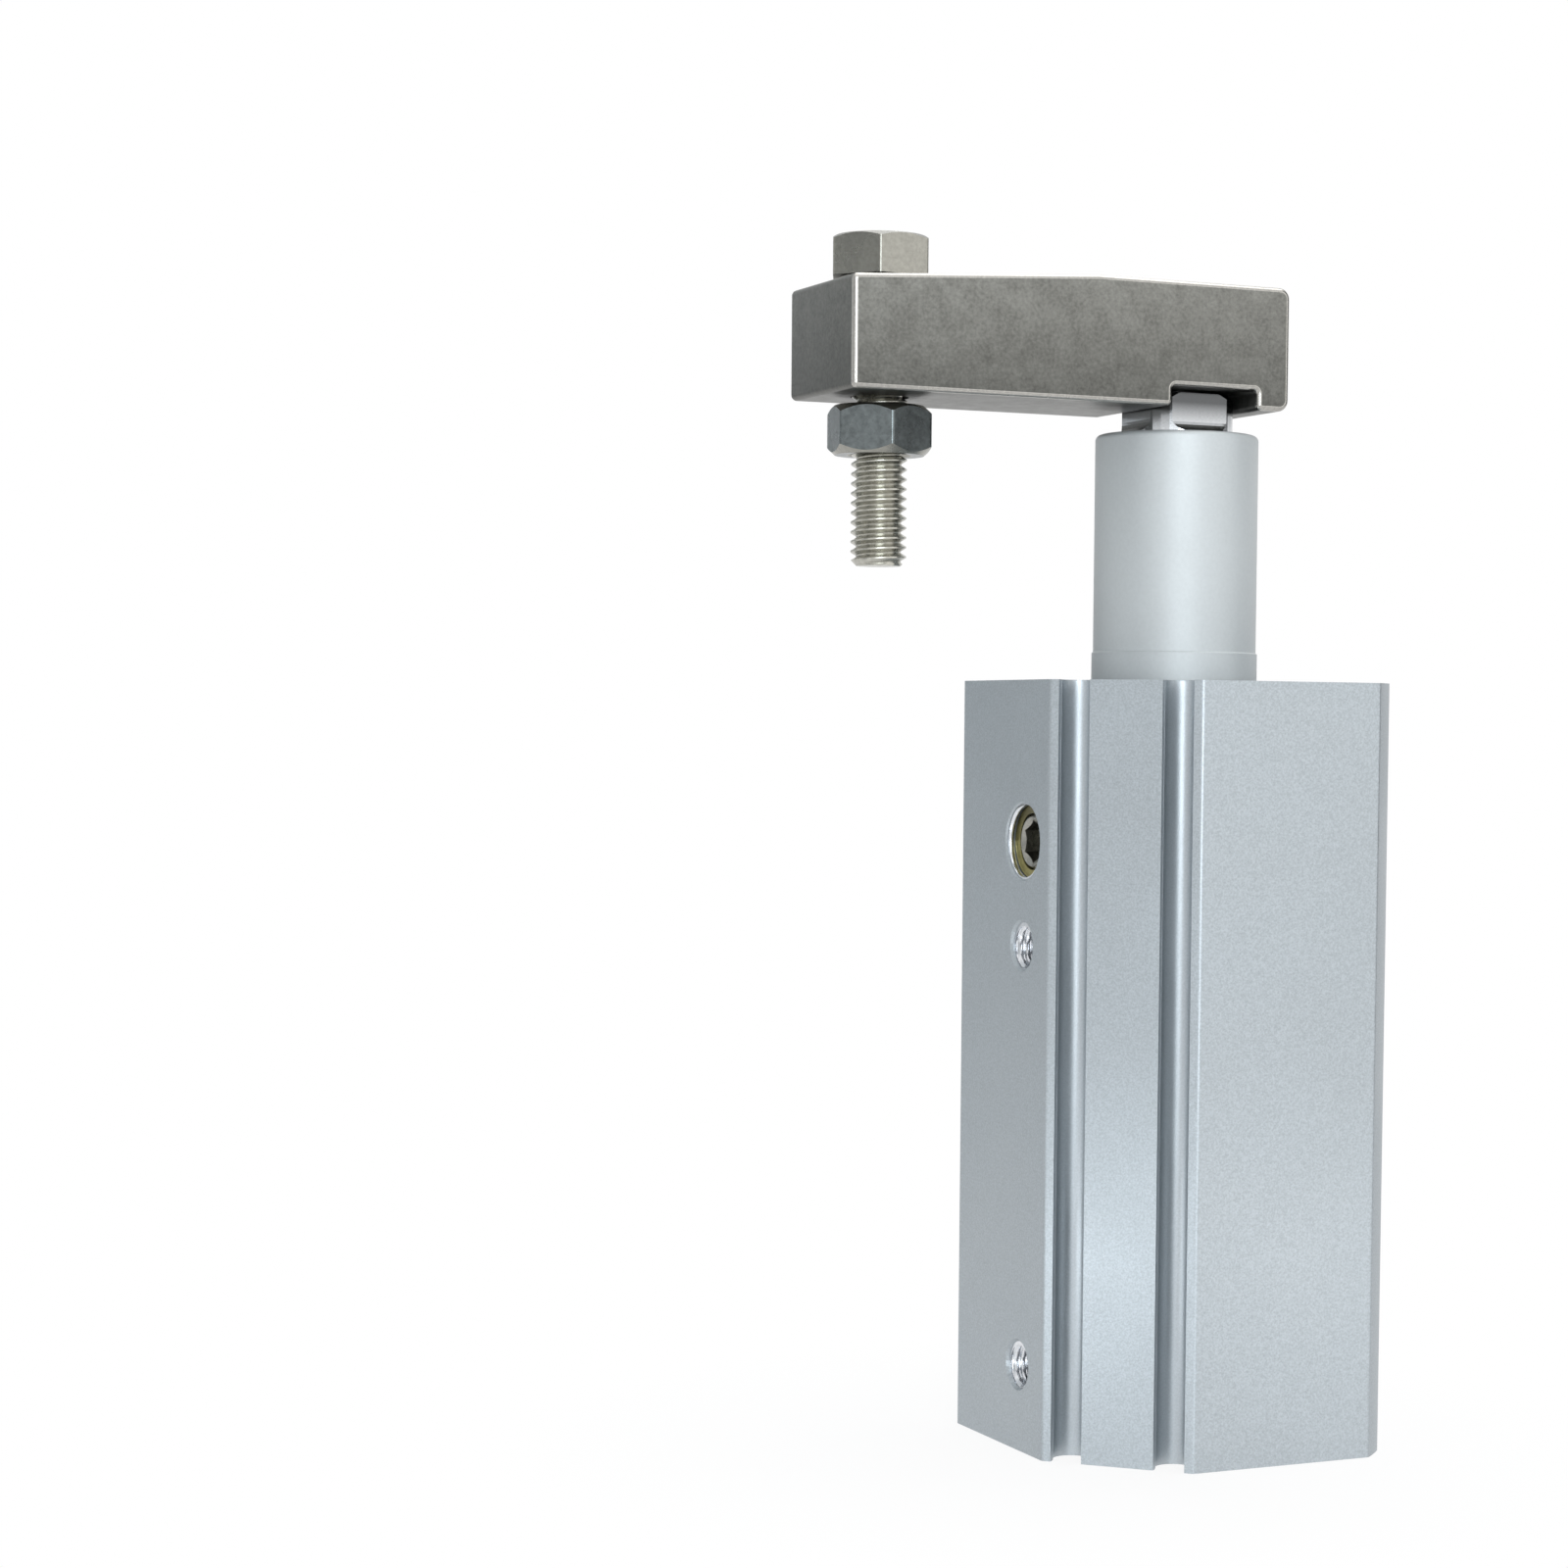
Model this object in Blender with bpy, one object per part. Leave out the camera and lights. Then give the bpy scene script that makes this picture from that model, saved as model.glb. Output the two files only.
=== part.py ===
"""Swing clamp cylinder: a square barrel, a cam-grooved rod that lifts and turns, and its clamp arm.

Metres, +Z up. The origin is the middle of the whole clamp at the height of the barrel's bottom face.
The rod's axis stands at ROD_AXIS_X, and every piece is placed from it.
The arm points along -X in the clamped position, over the port face.
"""
import math

import bmesh
import bpy
from mathutils import Matrix, Vector

# Clearances
SEAT = 0.0003          # between faces that rest on each other
SLIDE = 0.0001         # radial, between pieces that slide or turn
FIT = 0.00015          # radial, between pieces that sit still

# Barrel: a square with two turned corners and two bevelled corners
BARREL_SIDE = 0.036
BARREL_HEIGHT = 0.0825
BARREL_EDGE_RADIUS = 0.0005
TURNED_CORNER_LEG = 0.0029     # of each flat, which a turned corner takes off
BORE_RADIUS = 0.010
MOUTH_CHAMFER = 0.0004
NEAR_CORNER_TURN = math.radians(135)
FAR_CORNER_TURN = math.radians(-45)

# Switch grooves, two in each bevelled corner
GROOVE_MOUTH = 0.0034
GROOVE_ROUND_RADIUS = 0.00205
GROOVE_DEPTH = 0.0040
GROOVE_WALL = 0.0031           # between a groove's bottom and the bore
GROOVE_LIP = 0.0010            # between a groove's mouth and the bevel's end

# Mounting holes through the turned corners, counterbored at both ends
MOUNT_INSET = 0.00525          # from the flats to the hole's axis
MOUNT_HOLE_RADIUS = 0.00275
MOUNT_SINK_RADIUS = 0.0045
MOUNT_SINK_DEPTH = 0.0070

# Ports on the -X face, open thread diameter outside and a drilling to the bore
PORT_RADIUS = 0.0025
PORT_RIM_RADIUS = 0.0028
PORT_DRILL_RADIUS = 0.0010
PORT_DRILL_LENGTH = 0.0015
LOW_PORT_HEIGHT = 0.0092
HIGH_PORT_DROP = 0.0283

# Guide screw on the -X face
GUIDE_DROP = 0.0172
GUIDE_BODY_RADIUS = 0.0039
GUIDE_HOLE_CHAMFER = 0.0002
GUIDE_BOSS_RADIUS = 0.0029
GUIDE_BOSS_HEIGHT = 0.0005
GUIDE_BODY_LENGTH = 0.0058
GUIDE_BODY_CLEARANCE = 0.0006  # between its body's end and the bore
GUIDE_SHANK_RADIUS = 0.0026
GUIDE_SHANK_END_RADIUS = 0.0079
GUIDE_NOSE_RADIUS = 0.0019
GUIDE_SOCKET_FLATS = 0.0040
GUIDE_SOCKET_DEPTH = 0.0028
GUIDE_RIM_WIDTH = 0.0001       # flat ring outside the cone that leads into the socket
GUIDE_DISH_DEPTH = 0.00035
GUIDE_SEAL_THICKNESS = 0.0004
GUIDE_SEAL_DISH = 0.00025

# Head cover, its seal ring and the two retaining rings
HEAD_BORE_STEP = 0.0008
HEAD_BORE_DEPTH = 0.0073
RETAINER_THICKNESS = 0.0010
RETAINER_SINK = 0.0010
RETAINER_GROOVE_DEPTH = 0.0008
HEAD_RETAINER_WIDTH = 0.0018
HEAD_RETAINER_GAP = 0.0060
HEAD_RETAINER_EAR_RADIUS = 0.0015
HEAD_RETAINER_EYE_RADIUS = 0.0007
HEAD_COVER_BOSS_RADIUS = 0.0046
HEAD_COVER_BOSS_HEIGHT = 0.0018
HEAD_COVER_DISH_RADIUS = 0.0060
HEAD_COVER_DISH_DEPTH = 0.0012
ORING_GROOVE_DEPTH = 0.0014
ORING_GROOVE_WIDTH = 0.0018

# End-of-stroke bumpers
BUMPER_THICKNESS = 0.0030
HEAD_BUMPER_RADIUS = 0.0070
ROD_BUMPER_CLEARANCE = 0.0008
BUMPER_ROUNDING = 0.0004

# Piston and its rings
PISTON_LENGTH = 0.0125
PISTON_CLEARANCE = 0.0002
PISTON_SEAL_START = 0.0013
PISTON_SEAL_HEIGHT = 0.0026
PISTON_SEAL_DEPTH = 0.0025
MAGNET_START = 0.0051
MAGNET_HEIGHT = 0.0034
MAGNET_DEPTH = 0.0032
WEAR_RING_START = 0.0097
WEAR_RING_HEIGHT = 0.0018
WEAR_RING_DEPTH = 0.0010
PISTON_SCREW_RADIUS = 0.0025
PISTON_SCREW_HEAD_RADIUS = 0.00425
PISTON_SCREW_HEAD_HEIGHT = 0.0030
PISTON_SCREW_SOCKET_FLATS = 0.0030
PISTON_SCREW_SOCKET_DEPTH = 0.0015
PISTON_SCREW_LENGTH = 0.0120
PISTON_WEB = 0.0020

# Strokes: straight clamping, then lifting while turning through the swing angle
CLAMP_STROKE = 0.0200
SWING_STROKE = 0.0095
SWING_ANGLE = math.radians(90)

# Rod, its cam groove and its square end
ROD_RADIUS = 0.0060
ROD_SPIGOT_RADIUS = 0.0040
ROD_END_CHAMFER = 0.0005
ROD_FLATS = 0.0100
ROD_FLAT_BELOW_ARM = 0.0010
ROD_FLAT_CUTTER_RADIUS = 0.0015
ROD_TAP_DEPTH = 0.0145
ROD_TAP_RUNOUT = 0.0010
CAM_GROOVE_WIDTH = 0.0042
CAM_GROOVE_DEPTH = 0.0013
CAM_BLEND = 0.0030

# Rod cover: a plug in the bore that carries on upward as a sleeve
SLEEVE_RADIUS = 0.0088
SLEEVE_HEIGHT = 0.0265
SLEEVE_ROUNDING = 0.0006
BAND_RADIUS = 0.00895
BAND_HEIGHT = 0.0032
COVER_STEP_DROP = 0.0028
BUSH_WALL = 0.00105
COVER_NECK_LENGTH = 0.0022
COVER_NECK_WALL = 0.0006
COVER_ORING_DROP = 0.0065
BUSH_LENGTH = 0.0300
LAND = 0.0008
SEAL_POCKET_WIDTH = 0.0018
SEAL_POCKET_HEIGHT = 0.0030
SEAL_LAND_GAP = 0.0006
WIPER_POCKET_WIDTH = 0.0017
WIPER_POCKET_DEPTH = 0.0019
LIP_LENGTH = 0.0007

# Clamp arm: a block over the rod, with a slot for the rod's flats, tapering to its tip
ARM_RISE = 0.0024
ARM_THICKNESS = 0.0131
ARM_TIP_THICKNESS = 0.0115
ARM_WIDTH = 0.0170
ARM_BACK = 0.0090
ARM_KINK = 0.0140
ARM_REACH = 0.0350
ARM_TIP_MARGIN = 0.0066
ARM_SLOT_WIDTH = 0.0102
ARM_SLOT_DEPTH = 0.0021
ARM_EDGE_RADIUS = 0.00045
ARM_FAR_EDGE_RADIUS = 0.0015
ARM_BACK_EDGE_RADIUS = 0.0010
ARM_SEAT_RADIUS = 0.0056
ARM_SEAT_DEPTH = 0.0013

# Arm screw, sunk in the arm's top
ARM_SCREW_RADIUS = 0.00295
ARM_SCREW_HEAD_RADIUS = 0.0050
ARM_SCREW_HEAD_HEIGHT = 0.0060
ARM_SCREW_SOCKET_FLATS = 0.0050
ARM_SCREW_SOCKET_DEPTH = 0.0030
ARM_SCREW_LENGTH = 0.0170
ARM_SINK_RADIUS = 0.0055
ARM_SINK_DEPTH = 0.0064

# Clamp bolt and its lock nut
BOLT_RADIUS = 0.0029
BOLT_LENGTH = 0.0295
BOLT_FLATS = 0.0098
BOLT_HEAD_HEIGHT = 0.0040
BOLT_WASHER_FACE_RADIUS = 0.00445
BOLT_WASHER_FACE_HEIGHT = 0.0004
BOLT_HEAD_TURN = math.radians(6.6)
BOLT_END_CHAMFER = 0.0006
NUT_HEIGHT = 0.0051
NUT_DROP = 0.0009
NUT_TURN = math.radians(20.9)
HEX_CHAMFER_ANGLE = math.radians(30)
HEX_CROWN_SHARE = 0.97    # of the width across flats, where the chamfer starts

# Facets
FINE = 40
MEDIUM = 32
COARSE = 24
CORD_FACETS = 8
EDGE_STEPS = 3
CORNER_STEPS = 6
GROOVE_STEPS = 18
MILLED_STEPS = 8
RIM_STEPS = 4
SMOOTH_ANGLE = math.radians(35)
ARM_SMOOTH_ANGLE = math.radians(50)
SHALLOW_CORNER = math.radians(88)    # half of a corner's angle, above which it counts as smooth
CAM_STEPS = 30
CAM_END_STEPS = 4
CAM_END_SWEEP = math.radians(80)
CUT_MARGIN = 0.001     # how far a cutter runs past the face that it opens

# Heights that follow from the sizes above
HEAD_COVER_BOTTOM = RETAINER_SINK + RETAINER_THICKNESS + SEAT
HEAD_COVER_TOP = HEAD_BORE_DEPTH - SEAT
HEAD_BUMPER_TOP = HEAD_COVER_TOP + SEAT + BUMPER_THICKNESS
PISTON_BOTTOM = HEAD_BUMPER_TOP + SEAT
PISTON_TOP = PISTON_BOTTOM + PISTON_LENGTH
STROKE = CLAMP_STROKE + SWING_STROKE
ROD_BUMPER_BOTTOM = PISTON_TOP + STROKE + SEAT
COVER_BOTTOM = ROD_BUMPER_BOTTOM + BUMPER_THICKNESS + SEAT
COVER_STEP = BARREL_HEIGHT - COVER_STEP_DROP
COVER_TOP = BARREL_HEIGHT + SLEEVE_HEIGHT
COVER_RETAINER_BOTTOM = COVER_STEP + SEAT
WIPER_POCKET_FLOOR = COVER_TOP - WIPER_POCKET_DEPTH
SEAL_POCKET_TOP = WIPER_POCKET_FLOOR - LAND
SEAL_POCKET_FLOOR = SEAL_POCKET_TOP - SEAL_POCKET_HEIGHT
BUSH_TOP = SEAL_POCKET_FLOOR - LAND - SEAT
ARM_BOTTOM = COVER_TOP + ARM_RISE
ARM_TOP = ARM_BOTTOM + ARM_THICKNESS
ARM_SLOT_CEILING = ARM_BOTTOM + ARM_SLOT_DEPTH
ROD_TOP = ARM_SLOT_CEILING - SEAT
ROD_SHOULDER = PISTON_TOP + SEAT
PISTON_SCREW_HEAD_END = PISTON_BOTTOM + SEAT
PISTON_SCREW_SEAT = PISTON_SCREW_HEAD_END + PISTON_SCREW_HEAD_HEIGHT
PISTON_RECESS_TOP = PISTON_SCREW_SEAT + SEAT
PISTON_WEB_TOP = PISTON_RECESS_TOP + PISTON_WEB
ARM_SCREW_SEAT = ARM_TOP - ARM_SINK_DEPTH
BOLT_SEAT = ARM_TOP - ARM_SEAT_DEPTH
GUIDE_HEIGHT = BARREL_HEIGHT - GUIDE_DROP
HIGH_PORT_HEIGHT = BARREL_HEIGHT - HIGH_PORT_DROP
HALF_SIDE = BARREL_SIDE / 2
BARREL_TURNED_RADIUS = math.hypot(HALF_SIDE, HALF_SIDE - TURNED_CORNER_LEG)
BEVEL_DISTANCE = BORE_RADIUS + GROOVE_WALL + GROOVE_DEPTH
BEVEL_LEG = BARREL_SIDE - math.sqrt(2) * BEVEL_DISTANCE
GROOVE_PITCH = math.sqrt(2) * BEVEL_LEG - GROOVE_MOUTH - 2 * GROOVE_LIP
MOUNT_PITCH = BARREL_SIDE - 2 * MOUNT_INSET
HEAD_BORE_RADIUS = BORE_RADIUS + HEAD_BORE_STEP
ROD_BUMPER_RADIUS = BORE_RADIUS - ROD_BUMPER_CLEARANCE
PISTON_RADIUS = BORE_RADIUS - PISTON_CLEARANCE
PISTON_SEAL_FLOOR_RADIUS = PISTON_RADIUS - PISTON_SEAL_DEPTH
MAGNET_FLOOR_RADIUS = PISTON_RADIUS - MAGNET_DEPTH
WEAR_RING_FLOOR_RADIUS = PISTON_RADIUS - WEAR_RING_DEPTH
COVER_BORE_RADIUS = ROD_RADIUS + SLIDE + BUSH_WALL + FIT
SEAL_POCKET_RADIUS = ROD_RADIUS + SEAL_POCKET_WIDTH
SEAL_LAND_RADIUS = ROD_RADIUS + SEAL_LAND_GAP
WIPER_POCKET_RADIUS = ROD_RADIUS + WIPER_POCKET_WIDTH
GUIDE_BODY_END = BORE_RADIUS + GUIDE_BODY_CLEARANCE
GUIDE_SHOULDER = GUIDE_BODY_END + GUIDE_BODY_LENGTH
ROD_AXIS_X = (ARM_REACH + ARM_TIP_MARGIN - HALF_SIDE) / 2


def clear_scene():
    for item in list(bpy.data.objects):
        bpy.data.objects.remove(item, do_unlink=True)


def make_material(name, colour, roughness, metallic):
    material = bpy.data.materials.new(name)
    material.use_nodes = True
    shader = material.node_tree.nodes["Principled BSDF"]
    shader.inputs["Base Color"].default_value = (*colour, 1.0)
    shader.inputs["Roughness"].default_value = roughness
    shader.inputs["Metallic"].default_value = metallic
    return material


def add_object(name, bm, material=None, smooth=False):
    """Links a finished bmesh as an object with outward faces."""
    bmesh.ops.recalc_face_normals(bm, faces=bm.faces)
    mesh = bpy.data.meshes.new(name)
    bm.to_mesh(mesh)
    bm.free()
    item = bpy.data.objects.new(name, mesh)
    bpy.context.collection.objects.link(item)
    if material:
        mesh.materials.append(material)
    if smooth:
        mesh.shade_smooth()
        mesh.set_sharp_from_angle(angle=SMOOTH_ANGLE)
    return item


def as_cutter(item):
    item.hide_render = True
    item.display_type = "WIRE"
    return item


def boolean(target, tool, operation):
    modifier = target.modifiers.new(f"{operation.lower()} {tool.name}", "BOOLEAN")
    modifier.operation = operation
    modifier.solver = "EXACT"
    modifier.object = as_cutter(tool)


def cut(target, *tools):
    for tool in tools:
        boolean(target, tool, "DIFFERENCE")


def turned(name, profile, material=None, segments=COARSE):
    """Revolves a closed outline of (radius, height) points about Z."""
    bm = bmesh.new()
    verts = [bm.verts.new((radius, 0, height)) for radius, height in profile]
    edges = []
    for start, end in zip(verts, verts[1:] + verts[:1]):
        if start.co.x > 0 or end.co.x > 0:
            edges.append(bm.edges.new((start, end)))
    bmesh.ops.spin(bm, geom=verts + edges, cent=(0, 0, 0), axis=(0, 0, 1),
                   angle=math.tau, steps=segments, use_merge=True)
    bmesh.ops.remove_doubles(bm, verts=bm.verts, dist=1e-7)
    return add_object(name, bm, material, smooth=True)


def prism(name, outline, low, high, material=None):
    """Extrudes a closed outline of (x, y) points from height low to height high."""
    bm = bmesh.new()
    face = bm.faces.new([bm.verts.new((x, y, low)) for x, y in outline])
    grown = bmesh.ops.extrude_face_region(bm, geom=[face])["geom"]
    moved = [part for part in grown if isinstance(part, bmesh.types.BMVert)]
    bmesh.ops.translate(bm, verts=moved, vec=(0, 0, high - low))
    return add_object(name, bm, material, smooth=True)


def hexagon(flats, turn=0.0):
    """Corners of a hexagon of the given width across flats."""
    corner_radius = flats / math.sqrt(3)
    angles = [turn + step * math.pi / 3 for step in range(6)]
    return [(corner_radius * math.cos(angle), corner_radius * math.sin(angle)) for angle in angles]


def arc(centre, radius, start, end, steps):
    """Points of an arc, both ends included. Angles in radians."""
    points = []
    for step in range(steps + 1):
        angle = start + (end - start) * step / steps
        points.append((centre[0] + radius * math.cos(angle), centre[1] + radius * math.sin(angle)))
    return points


def circle(centre, radius, steps=COARSE):
    """Points of a whole circle, the first one not repeated."""
    return arc(centre, radius, 0, math.tau * (1 - 1 / steps), steps - 1)


def ring_profile(inner, outer, low, high, rounding=0.0):
    """Rectangular ring section, with its outer corners rounded off by a chamfer."""
    return [(inner, low), (outer - rounding, low), (outer, low + rounding),
            (outer, high - rounding), (outer - rounding, high), (inner, high)]


def facing_port_side(item, height):
    """Lays a piece that is modelled along +Z so that it points out of the -X face."""
    item.rotation_euler = (0, -math.pi / 2, 0)
    item.location = (0, 0, height)
    return item


def rounded(outline, radius, steps=EDGE_STEPS):
    """Counter-clockwise outline with each corner that turns outward rounded off."""
    points = []
    count = len(outline)
    for index, corner in enumerate(outline):
        corner = Vector(corner)
        before = (Vector(outline[index - 1]) - corner).normalized()
        after = (Vector(outline[(index + 1) % count]) - corner).normalized()
        half = before.angle(after) / 2
        if half > SHALLOW_CORNER:
            points.append(tuple(corner))
            continue
        centre = corner + (before + after).normalized() * radius / math.sin(half)
        start = corner + before * radius / math.tan(half) - centre
        end = corner + after * radius / math.tan(half) - centre
        first = math.atan2(start.y, start.x)
        points += arc(centre, radius, first, first + start.angle(end), steps)
    return points


def barrel_outline():
    """Counter-clockwise section of the barrel, before its grooves."""
    flat_end = HALF_SIDE - TURNED_CORNER_LEG
    wide = math.atan2(HALF_SIDE, flat_end)
    narrow = math.atan2(flat_end, HALF_SIDE)
    bevel_end = HALF_SIDE - BEVEL_LEG
    outline = [(-HALF_SIDE, -bevel_end), (-bevel_end, -HALF_SIDE)]
    outline += arc((0, 0), BARREL_TURNED_RADIUS, -wide, -narrow, CORNER_STEPS)
    outline += [(HALF_SIDE, bevel_end), (bevel_end, HALF_SIDE)]
    outline += arc((0, 0), BARREL_TURNED_RADIUS, math.pi - wide, math.pi - narrow, CORNER_STEPS)
    return rounded(outline, BARREL_EDGE_RADIUS)


def groove_cutter(name, across, turn):
    """Switch groove along the barrel: a straight mouth that opens into a round."""
    half_mouth = GROOVE_MOUTH / 2
    centre = BEVEL_DISTANCE - GROOVE_DEPTH + GROOVE_ROUND_RADIUS
    neck = math.sqrt(GROOVE_ROUND_RADIUS ** 2 - half_mouth ** 2)
    start = math.atan2(neck, -half_mouth)
    end = math.atan2(neck, half_mouth) + math.tau
    outside = BEVEL_DISTANCE + CUT_MARGIN
    outline = [(across + half_mouth, outside), (across - half_mouth, outside)]
    outline += arc((across, centre), GROOVE_ROUND_RADIUS, start, end, GROOVE_STEPS)
    tool = prism(name, outline, -CUT_MARGIN, BARREL_HEIGHT + CUT_MARGIN)
    tool.rotation_euler = (0, 0, turn)
    return tool


def bore_profile():
    """Inside of the barrel, from the head end up."""
    head_groove = HEAD_BORE_RADIUS + RETAINER_GROOVE_DEPTH
    rod_groove = BORE_RADIUS + RETAINER_GROOVE_DEPTH
    head_low = RETAINER_SINK - FIT
    head_high = RETAINER_SINK + RETAINER_THICKNESS + FIT
    rod_low = COVER_RETAINER_BOTTOM - FIT
    rod_high = COVER_RETAINER_BOTTOM + RETAINER_THICKNESS + FIT
    flare = MOUTH_CHAMFER + CUT_MARGIN
    return [
        (0, -CUT_MARGIN),
        (HEAD_BORE_RADIUS + flare, -CUT_MARGIN),
        (HEAD_BORE_RADIUS, MOUTH_CHAMFER),
        (HEAD_BORE_RADIUS, head_low),
        (head_groove, head_low),
        (head_groove, head_high),
        (HEAD_BORE_RADIUS, head_high),
        (HEAD_BORE_RADIUS, HEAD_BORE_DEPTH),
        (BORE_RADIUS, HEAD_BORE_DEPTH),
        (BORE_RADIUS, rod_low),
        (rod_groove, rod_low),
        (rod_groove, rod_high),
        (BORE_RADIUS, rod_high),
        (BORE_RADIUS, BARREL_HEIGHT - MOUTH_CHAMFER),
        (BORE_RADIUS + flare, BARREL_HEIGHT + CUT_MARGIN),
        (0, BARREL_HEIGHT + CUT_MARGIN),
    ]


def mount_hole_profile():
    """Through hole with a counterbore at each end."""
    return [
        (0, -CUT_MARGIN),
        (MOUNT_SINK_RADIUS, -CUT_MARGIN),
        (MOUNT_SINK_RADIUS, MOUNT_SINK_DEPTH),
        (MOUNT_HOLE_RADIUS, MOUNT_SINK_DEPTH),
        (MOUNT_HOLE_RADIUS, BARREL_HEIGHT - MOUNT_SINK_DEPTH),
        (MOUNT_SINK_RADIUS, BARREL_HEIGHT - MOUNT_SINK_DEPTH),
        (MOUNT_SINK_RADIUS, BARREL_HEIGHT + CUT_MARGIN),
        (0, BARREL_HEIGHT + CUT_MARGIN),
    ]


def port_profile():
    """Port along its own axis, from inside the bore out past the face."""
    rim = PORT_RIM_RADIUS - PORT_RADIUS
    cone_end = BORE_RADIUS + PORT_DRILL_LENGTH
    thread_end = cone_end + PORT_RADIUS - PORT_DRILL_RADIUS
    return [
        (0, BORE_RADIUS - CUT_MARGIN),
        (PORT_DRILL_RADIUS, BORE_RADIUS - CUT_MARGIN),
        (PORT_DRILL_RADIUS, cone_end),
        (PORT_RADIUS, thread_end),
        (PORT_RADIUS, HALF_SIDE - rim),
        (PORT_RIM_RADIUS + CUT_MARGIN, HALF_SIDE + CUT_MARGIN),
        (0, HALF_SIDE + CUT_MARGIN),
    ]


def guide_hole_profile():
    radius = GUIDE_BODY_RADIUS + FIT
    return [
        (0, BORE_RADIUS - GUIDE_BODY_RADIUS),
        (radius, BORE_RADIUS - GUIDE_BODY_RADIUS),
        (radius, HALF_SIDE - GUIDE_HOLE_CHAMFER),
        (radius + GUIDE_HOLE_CHAMFER + CUT_MARGIN, HALF_SIDE + CUT_MARGIN),
        (0, HALF_SIDE + CUT_MARGIN),
    ]


def build_barrel(material):
    barrel = prism("cylinder_body", barrel_outline(), 0, BARREL_HEIGHT, material)
    for corner, turn in (("near", NEAR_CORNER_TURN), ("far", FAR_CORNER_TURN)):
        for side in (-1, 1):
            cut(barrel, groove_cutter(f"{corner}_groove_cut_{side + 1}", side * GROOVE_PITCH / 2, turn))
    cut(barrel, turned("bore_cut", bore_profile(), segments=FINE))
    for side in (-1, 1):
        hole = turned(f"mount_hole_cut_{side + 1}", mount_hole_profile())
        hole.location = (side * MOUNT_PITCH / 2, -side * MOUNT_PITCH / 2, 0)
        cut(barrel, hole)
    for name, height in (("low_port_cut", LOW_PORT_HEIGHT), ("high_port_cut", HIGH_PORT_HEIGHT)):
        port = turned(name, port_profile())
        cut(barrel, facing_port_side(port, height))
    guide = turned("guide_hole_cut", guide_hole_profile(), segments=MEDIUM)
    cut(barrel, facing_port_side(guide, GUIDE_HEIGHT))
    return barrel


def build_head_cover(material):
    radius = HEAD_BORE_RADIUS - FIT
    groove_low = (HEAD_COVER_BOTTOM + HEAD_COVER_TOP - ORING_GROOVE_WIDTH) / 2
    groove_high = groove_low + ORING_GROOVE_WIDTH
    floor = HEAD_BORE_RADIUS - ORING_GROOVE_DEPTH
    boss_top = HEAD_COVER_TOP + HEAD_COVER_BOSS_HEIGHT
    profile = [
        (0, HEAD_COVER_BOTTOM + HEAD_COVER_DISH_DEPTH),
        (HEAD_COVER_DISH_RADIUS, HEAD_COVER_BOTTOM + HEAD_COVER_DISH_DEPTH),
        (HEAD_COVER_DISH_RADIUS, HEAD_COVER_BOTTOM),
        (radius, HEAD_COVER_BOTTOM),
        (radius, groove_low),
        (floor, groove_low),
        (floor, groove_high),
        (radius, groove_high),
        (radius, HEAD_COVER_TOP),
        (HEAD_COVER_BOSS_RADIUS, HEAD_COVER_TOP),
        (HEAD_COVER_BOSS_RADIUS, boss_top),
        (0, boss_top),
    ]
    return turned("head_cover", profile, material)


def build_oring(name, wall_radius, height, material):
    thickness = ORING_GROOVE_DEPTH - 2 * FIT
    section = circle((wall_radius - ORING_GROOVE_DEPTH / 2, height), thickness / 2, CORD_FACETS)
    return turned(name, section, material)


def build_head_retainer(material):
    """Snap ring for a bore, open at +Y, with a plier eye at each end."""
    outer = HEAD_BORE_RADIUS + RETAINER_GROOVE_DEPTH - SEAT
    inner = outer - HEAD_RETAINER_WIDTH
    low = RETAINER_SINK
    high = RETAINER_SINK + RETAINER_THICKNESS
    half_gap = math.asin(HEAD_RETAINER_GAP / 2 / inner)
    start = math.pi / 2 + half_gap
    end = math.pi / 2 - half_gap + math.tau
    outline = arc((0, 0), outer, start, end, MEDIUM)
    outline += arc((0, 0), inner, end, start, MEDIUM)
    ring = prism("head_retaining_ring", outline, low, high, material)
    ear_centre = inner - HEAD_RETAINER_EAR_RADIUS / 2
    for side in (-1, 1):
        angle = math.pi / 2 + side * (half_gap + HEAD_RETAINER_EAR_RADIUS / ear_centre)
        place = (ear_centre * math.cos(angle), ear_centre * math.sin(angle), 0)
        ear = prism(f"ear_join_{side + 1}", circle((0, 0), HEAD_RETAINER_EAR_RADIUS), low, high)
        eye = turned(f"eye_cut_{side + 1}", ring_profile(0, HEAD_RETAINER_EYE_RADIUS,
                     low - CUT_MARGIN, high + CUT_MARGIN))
        ear.location = place
        eye.location = place
        boolean(ring, ear, "UNION")
        cut(ring, eye)
    return ring


def build_cover_retainer(material):
    """Open snap ring between the barrel's mouth and the rod cover's band."""
    outer = BORE_RADIUS + RETAINER_GROOVE_DEPTH - SEAT
    inner = BAND_RADIUS + SEAT
    half_gap = HEAD_RETAINER_GAP / 2 / inner
    start = math.pi / 2 + half_gap
    end = math.pi / 2 - half_gap + math.tau
    outline = arc((0, 0), outer, start, end, MEDIUM)
    outline += arc((0, 0), inner, end, start, MEDIUM)
    low = COVER_RETAINER_BOTTOM
    return prism("cover_retaining_ring", outline, low, low + RETAINER_THICKNESS, material)


def build_head_bumper(material):
    profile = ring_profile(HEAD_COVER_BOSS_RADIUS + FIT, HEAD_BUMPER_RADIUS,
                           HEAD_COVER_TOP + SEAT, HEAD_BUMPER_TOP, BUMPER_ROUNDING)
    return turned("head_bumper", profile, material)


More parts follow.
